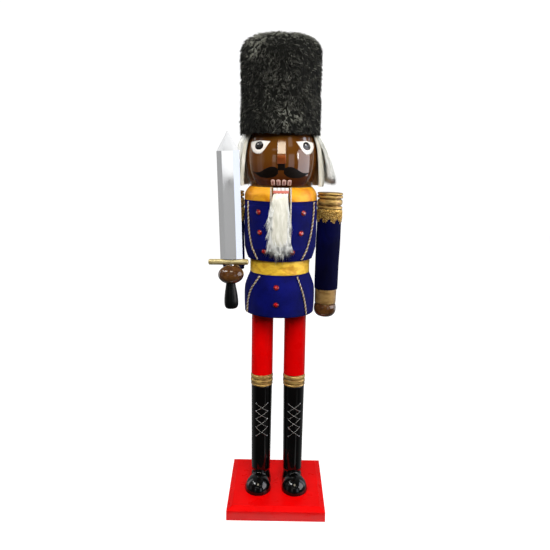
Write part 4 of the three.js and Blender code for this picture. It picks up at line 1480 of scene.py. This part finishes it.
BEARD_LOCKS = 150
HAIRS_IN_LOCK = 13
BEARD_CORE = [
    # height, half width, front, back
    (836.5, 15, -97, -89),
    (830, 18, -103, -89.5),
    (818, 19, -107.5, -97),
    (780, 19.5, -110, -97.5),
    (735, 19.5, -109, -97.5),
    (712, 16, -106, -98),
    (702, 9, -103, -99.5),
]


def build_beard_core():
    """The closed body that fills the beard."""
    rings = []
    for z, half, front, back in curve_through(BEARD_CORE, 6):
        middle = (front + back) / 2
        deep = (back - front) / 2
        ring = []
        for angle in even_angles(48):
            groove = 1 + 0.07 * noise.noise(round_spot(angle, 4, z * 0.012))
            x = math.sin(angle) * half * groove
            y = middle - math.cos(angle) * deep * groove
            ring.append(Vector((x - 2, min(y, -88.6), z)) * MM)
        rings.append(ring)
    core = closed_piece("beard_core", *stacked(rings), WHITE_HIDE)
    fit(core, "beard_fall", "white_fur", "beard")


def build_beard():
    """A long wavy beard that hangs from the jaw, in locks of hairs over a closed core."""
    build_beard_core()
    chance = random.Random(31)
    spines, tones, radii = [], [], []
    for _ in range(BEARD_LOCKS):
        x = chance.uniform(-1, 1)
        layer = chance.random()
        start = 837.5 - 55 * chance.random() ** 1.5
        end = max(start - chance.uniform(60, 150), 669 + 18 * abs(x) + chance.gauss(0, 6))
        bend = chance.gauss(0, 1.6)
        wave = chance.uniform(0, 6.3)
        curl = chance.gauss(0, 1)
        stray = abs(x) > 0.86
        for _ in range(HAIRS_IN_LOCK):
            spread = chance.gauss(0, 1.5)
            tip = chance.gauss(0, 2.6)
            own = chance.gauss(0, 3)
            spine = []
            for i in range(9):
                t = i / 8
                z = start + (end + own - start) * t
                fall = (838 - z) / 165
                half = 16 + 4 * min(1, fall * 4)
                sway = bend * 2.2 * t + 1.5 * math.sin(wave + 8 * fall) * min(1, 4 * fall) + 4.5 * curl * t**3
                outward = math.copysign(8 * t**3, x) if stray else 0
                across = x * half - 3.5 * min(1, fall * 4) + sway + outward
                across += spread * (0.4 + 0.6 * t)
                across += tip * t**5
                swell = 15 * min(1, fall * 6) ** 0.7 - 6.5 * max(0, fall - 0.55)
                depth = -92 - swell * (0.72 + 0.35 * layer) * (1 - 0.3 * x * x)
                depth -= 0.9 * math.sin(wave + 10 * fall)
                if z < 822:
                    depth = min(depth, -97.2)
                spine.append((across * MM, (depth + 0.3 * spread) * MM, z * MM))
            spines.append(spine)
            tones.append(min(1, max(0, 0.55 + 0.2 * curl + chance.gauss(0, 0.25))))
            radii.append(chance.uniform(0.32, 0.6) * MM)
    strands = hairs("beard_hair", spines, np.array(radii), np.array(tones), WHITE_FUR)
    fit(strands, "beard_fall", "white_fur")


# ---------- arms ----------
EPAULETTE = [
    # radius and height, from the fringe's top up
    (28.5, 795), (31.6, 795.6), (32.8, 797), (32.8, 800.5), (31.6, 801.6), (28, 802.6),
    (28, 804.6), (31, 806), (32.4, 810), (32.6, 814), (31.6, 818.5), (28, 820.4),
    (28, 822.2), (32, 823), (33, 824.6), (33, 828.6), (32, 829.8), (29, 830.4),
    (29, 831.2), (32, 831.8), (33, 833), (33, 835), (31.6, 836.6), (28, 837),
]
SHOULDER_Z = 808
FRINGE_TOP = 795
FRINGE_BOTTOM = 757
FRINGE_LOOPS = 72
SEQUINS = 420


def from_shoulder(points):
    """An outline by radius and height, in metres from the shoulder's axis."""
    return [(r * MM, (z - SHOULDER_Z) * MM) for r, z in points]


def build_epaulette(name, arm, body):
    knob = lathe(f"{name}_shoulder_knob", rounded(from_shoulder(EPAULETTE), 0.8 * MM, 3), GOLD_PAINT, arm)
    fit(knob, body, "gold_paint", f"{name}_epaulette")


def scallop(degrees):
    """How far down the fringe hangs at a bearing, as a share: pointed tongues with gaps between."""
    wave = abs(math.sin(math.radians(degrees * 4.5 + 20)))
    return 0.62 + 0.38 * wave**1.5


def build_fringe(name, arm, body, seed):
    """A gold fringe: looped threads of uneven length, strewn with sequins."""
    chance = random.Random(seed)
    top = FRINGE_TOP
    band = [(31.6, top - 7), (32.4, top - 5.5), (32.4, top - 1.5), (31.6, top)]
    hoop = shell_loop(rounded(from_shoulder(band), 0.5 * MM), 1 * MM)
    parts = [turned(hoop, arm, 72, loop=True)]
    for i in range(FRINGE_LOOPS):
        degrees = 360 * i / FRINGE_LOOPS
        length = (top - 4 - FRINGE_BOTTOM) * scallop(degrees) * chance.uniform(0.8, 1.0)
        half = 1.5 + chance.uniform(0, 0.8)
        layer = chance.uniform(-0.5, 0.5)
        route = []
        for t in np.linspace(0, 1, 20):
            along = math.sin(math.pi * t)
            across = half * math.cos(math.pi * t) * (1 + 0.8 * along)
            angle = math.radians(degrees) + across / 32.3
            z = top - 3 - length * along - SHOULDER_Z
            r = 32.1 + layer + 0.4 * math.sin(9 * t + i) - 0.3 * along
            route.append(arm @ (polar(angle, r, z) * MM))
        parts.append(tube(route, 0.6 * MM, 5))
    for _ in range(SEQUINS):
        degrees = chance.uniform(0, 360)
        z = top - 3 - chance.random() * (top - 6 - FRINGE_BOTTOM) * scallop(degrees) - SHOULDER_Z
        spot = arm @ (polar(math.radians(degrees), 32.9, z) * MM)
        tip = Matrix.Rotation(chance.uniform(-0.8, 0.8), 4, "X")
        lean = Matrix.Rotation(chance.uniform(-0.8, 0.8), 4, "Y")
        turn = spun(degrees, "Z") @ spun(90, "X") @ (tip @ lean)
        vertices, faces = ellipsoid((0, 0, 0), (1.3 * MM, 1.3 * MM, 0.35 * MM), 8, 4)
        parts.append(([Matrix.Translation(spot) @ turn @ vertex for vertex in vertices], faces))
    fringe = joined(f"{name}_gold_fringe", parts, BULLION)
    fit(fringe, body, "bullion", f"{name}_epaulette_fringe")


def velvet_ripple(seed):
    """Slight slack in a glued velvet sleeve."""
    return cloth_ripple(0.7 * MM, 1.6, 22, seed)


def build_left_arm():
    """The straight arm: a sleeve, its epaulette and fringe, a gold cuff and a ball of a hand."""
    sleeve = rounded(resampled(outline_of("left_sleeve", LEFT_ARM), 3 * MM), 1 * MM, 1)
    made = lathe("left_velvet", sleeve, VELVET, LEFT_ARM, shape=velvet_ripple(2))
    fit(made, "arm_left", "velvet", "left_sleeve")
    build_epaulette("left", LEFT_ARM, "arm_left")
    build_fringe("left", LEFT_ARM, "arm_left", 41)
    cuff = rounded(outline_of("left_cuff", LEFT_ARM), 1.5 * MM)
    fit(lathe("left_gold_cuff", cuff, CUFF_GOLD, LEFT_ARM), "arm_left", "gold_paint", "left_cuff")
    ball = outline_of("left_hand", LEFT_ARM, 0.2)
    hand = curve_through([(2 * MM, ball[0][1]), *ball])
    fit(lathe("left_ball_hand", hand, HAND_PAINT, LEFT_ARM), "arm_left", "skin_paint", "left_hand")


def build_right_arm():
    """The bent arm: the sleeve's round elbow, the forearm with its cuff, and the fist."""
    sleeve = outline_of("right_upper_sleeve", RIGHT_ARM, 0.3)
    bend = curve_through([(4 * MM, sleeve[0][1] - 0.2 * MM), *sleeve], 10)
    made = lathe("right_upper_velvet", bend, VELVET, RIGHT_ARM, shape=velvet_ripple(6))
    fit(made, "arm_right", "velvet", "right_upper_sleeve")
    build_epaulette("right", RIGHT_ARM, "arm_right")
    build_fringe("right", RIGHT_ARM, "arm_right", 42)
    low_sleeve = rounded(in_metres([(21.3, 6), (20.6, 40), (20, 82), (20, 87.6), (18, 88)]), 2 * MM)
    made = lathe("right_lower_velvet", low_sleeve, VELVET, FOREARM, shape=velvet_ripple(8))
    fit(made, "arm_right", "velvet", "right_forearm_sleeve")
    cuff = rounded(in_metres([(18, 88), (20.8, 88.4), (21.4, 90), (21.4, 94.5), (18.4, 98)]), 1.2 * MM)
    fit(lathe("right_gold_cuff", cuff, CUFF_GOLD, FOREARM), "arm_right", "gold_paint", "right_cuff")
    vertices, faces = ellipsoid((-2.5 * MM, 0, -2 * MM), (31 * MM, 25 * MM, 22.8 * MM), 96, 48)
    fist = mesh_object("right_fist", [FIST @ vertex for vertex in vertices], faces, HAND_PAINT)
    fit(fist, "arm_right", "skin_paint", "right_hand")


# ---------- sword ----------
# The grip's radius and distance from the middle of the fist, from its foot up.
GRIP = [(5, -86), (13, -85), (16.6, -79), (17.2, -68), (15.6, -50), (13, -35), (11, -21.6)]
GUARD_HALF_LENGTH = 49
GUARD_RADIUS = 7


def build_sword():
    """The silver blade, and the gold guard and black grip, which sit a little off its middle."""
    soften_edges("sword_blade", 0.5 * MM, 2)
    paint("sword_blade", BLADE_PAINT)
    across = SWORD @ shifted(-8, 0, 28.8) @ spun(90, "Y")
    half = GUARD_HALF_LENGTH
    r = GUARD_RADIUS
    outline = [(2, -half), (4.6, -half), (r, -half + 2), (r, half - 2), (4.6, half), (2, half)]
    guard = lathe("guard_bar", rounded(in_metres(outline), 2.2 * MM), GUARD_GOLD, across, 64)
    fit(guard, "sword", "guard_gold", "sword_guard")
    handle = rounded(in_metres(GRIP), 5 * MM, 6)
    grip = lathe("grip_handle", handle, GRIP_PAINT, SWORD @ shifted(-4, 0, 0), 64)
    fit(grip, "sword", "black_gloss", "sword_grip")


# ---------- CAD nodes that keep their own mesh ----------
WOODEN_NODES = [
    "hip_block", "waist_dowel", "chest_block", "neck_dowel_left", "neck_dowel_right", "left_shoulder_dowel",
    "right_shoulder_dowel", "hat_block", "left_arm", "right_upper_arm", "right_forearm",
]
STEEL_NODES = ["base_screw_left", "base_screw_right", "jaw_pin"]


def finish_kept_nodes():
    for name in WOODEN_NODES:
        paint(name, WOOD)
    for name in STEEL_NODES:
        paint(name, STEEL)
    paint("jaw_lever", SKIN)
    soften_edges("jaw_lever", 1.2 * MM)


bpy.context.scene.view_settings.view_transform = "Standard"
floor()
surroundings()
studio_lights()
camera()
build_base()
for side_name, side_sign in SIDES:
    build_leg(side_name, side_sign)
build_coat()
build_ribbons()
build_trim()
build_head()
build_hat()
build_hair()
build_beard()
build_left_arm()
build_right_arm()
build_sword()
finish_kept_nodes()
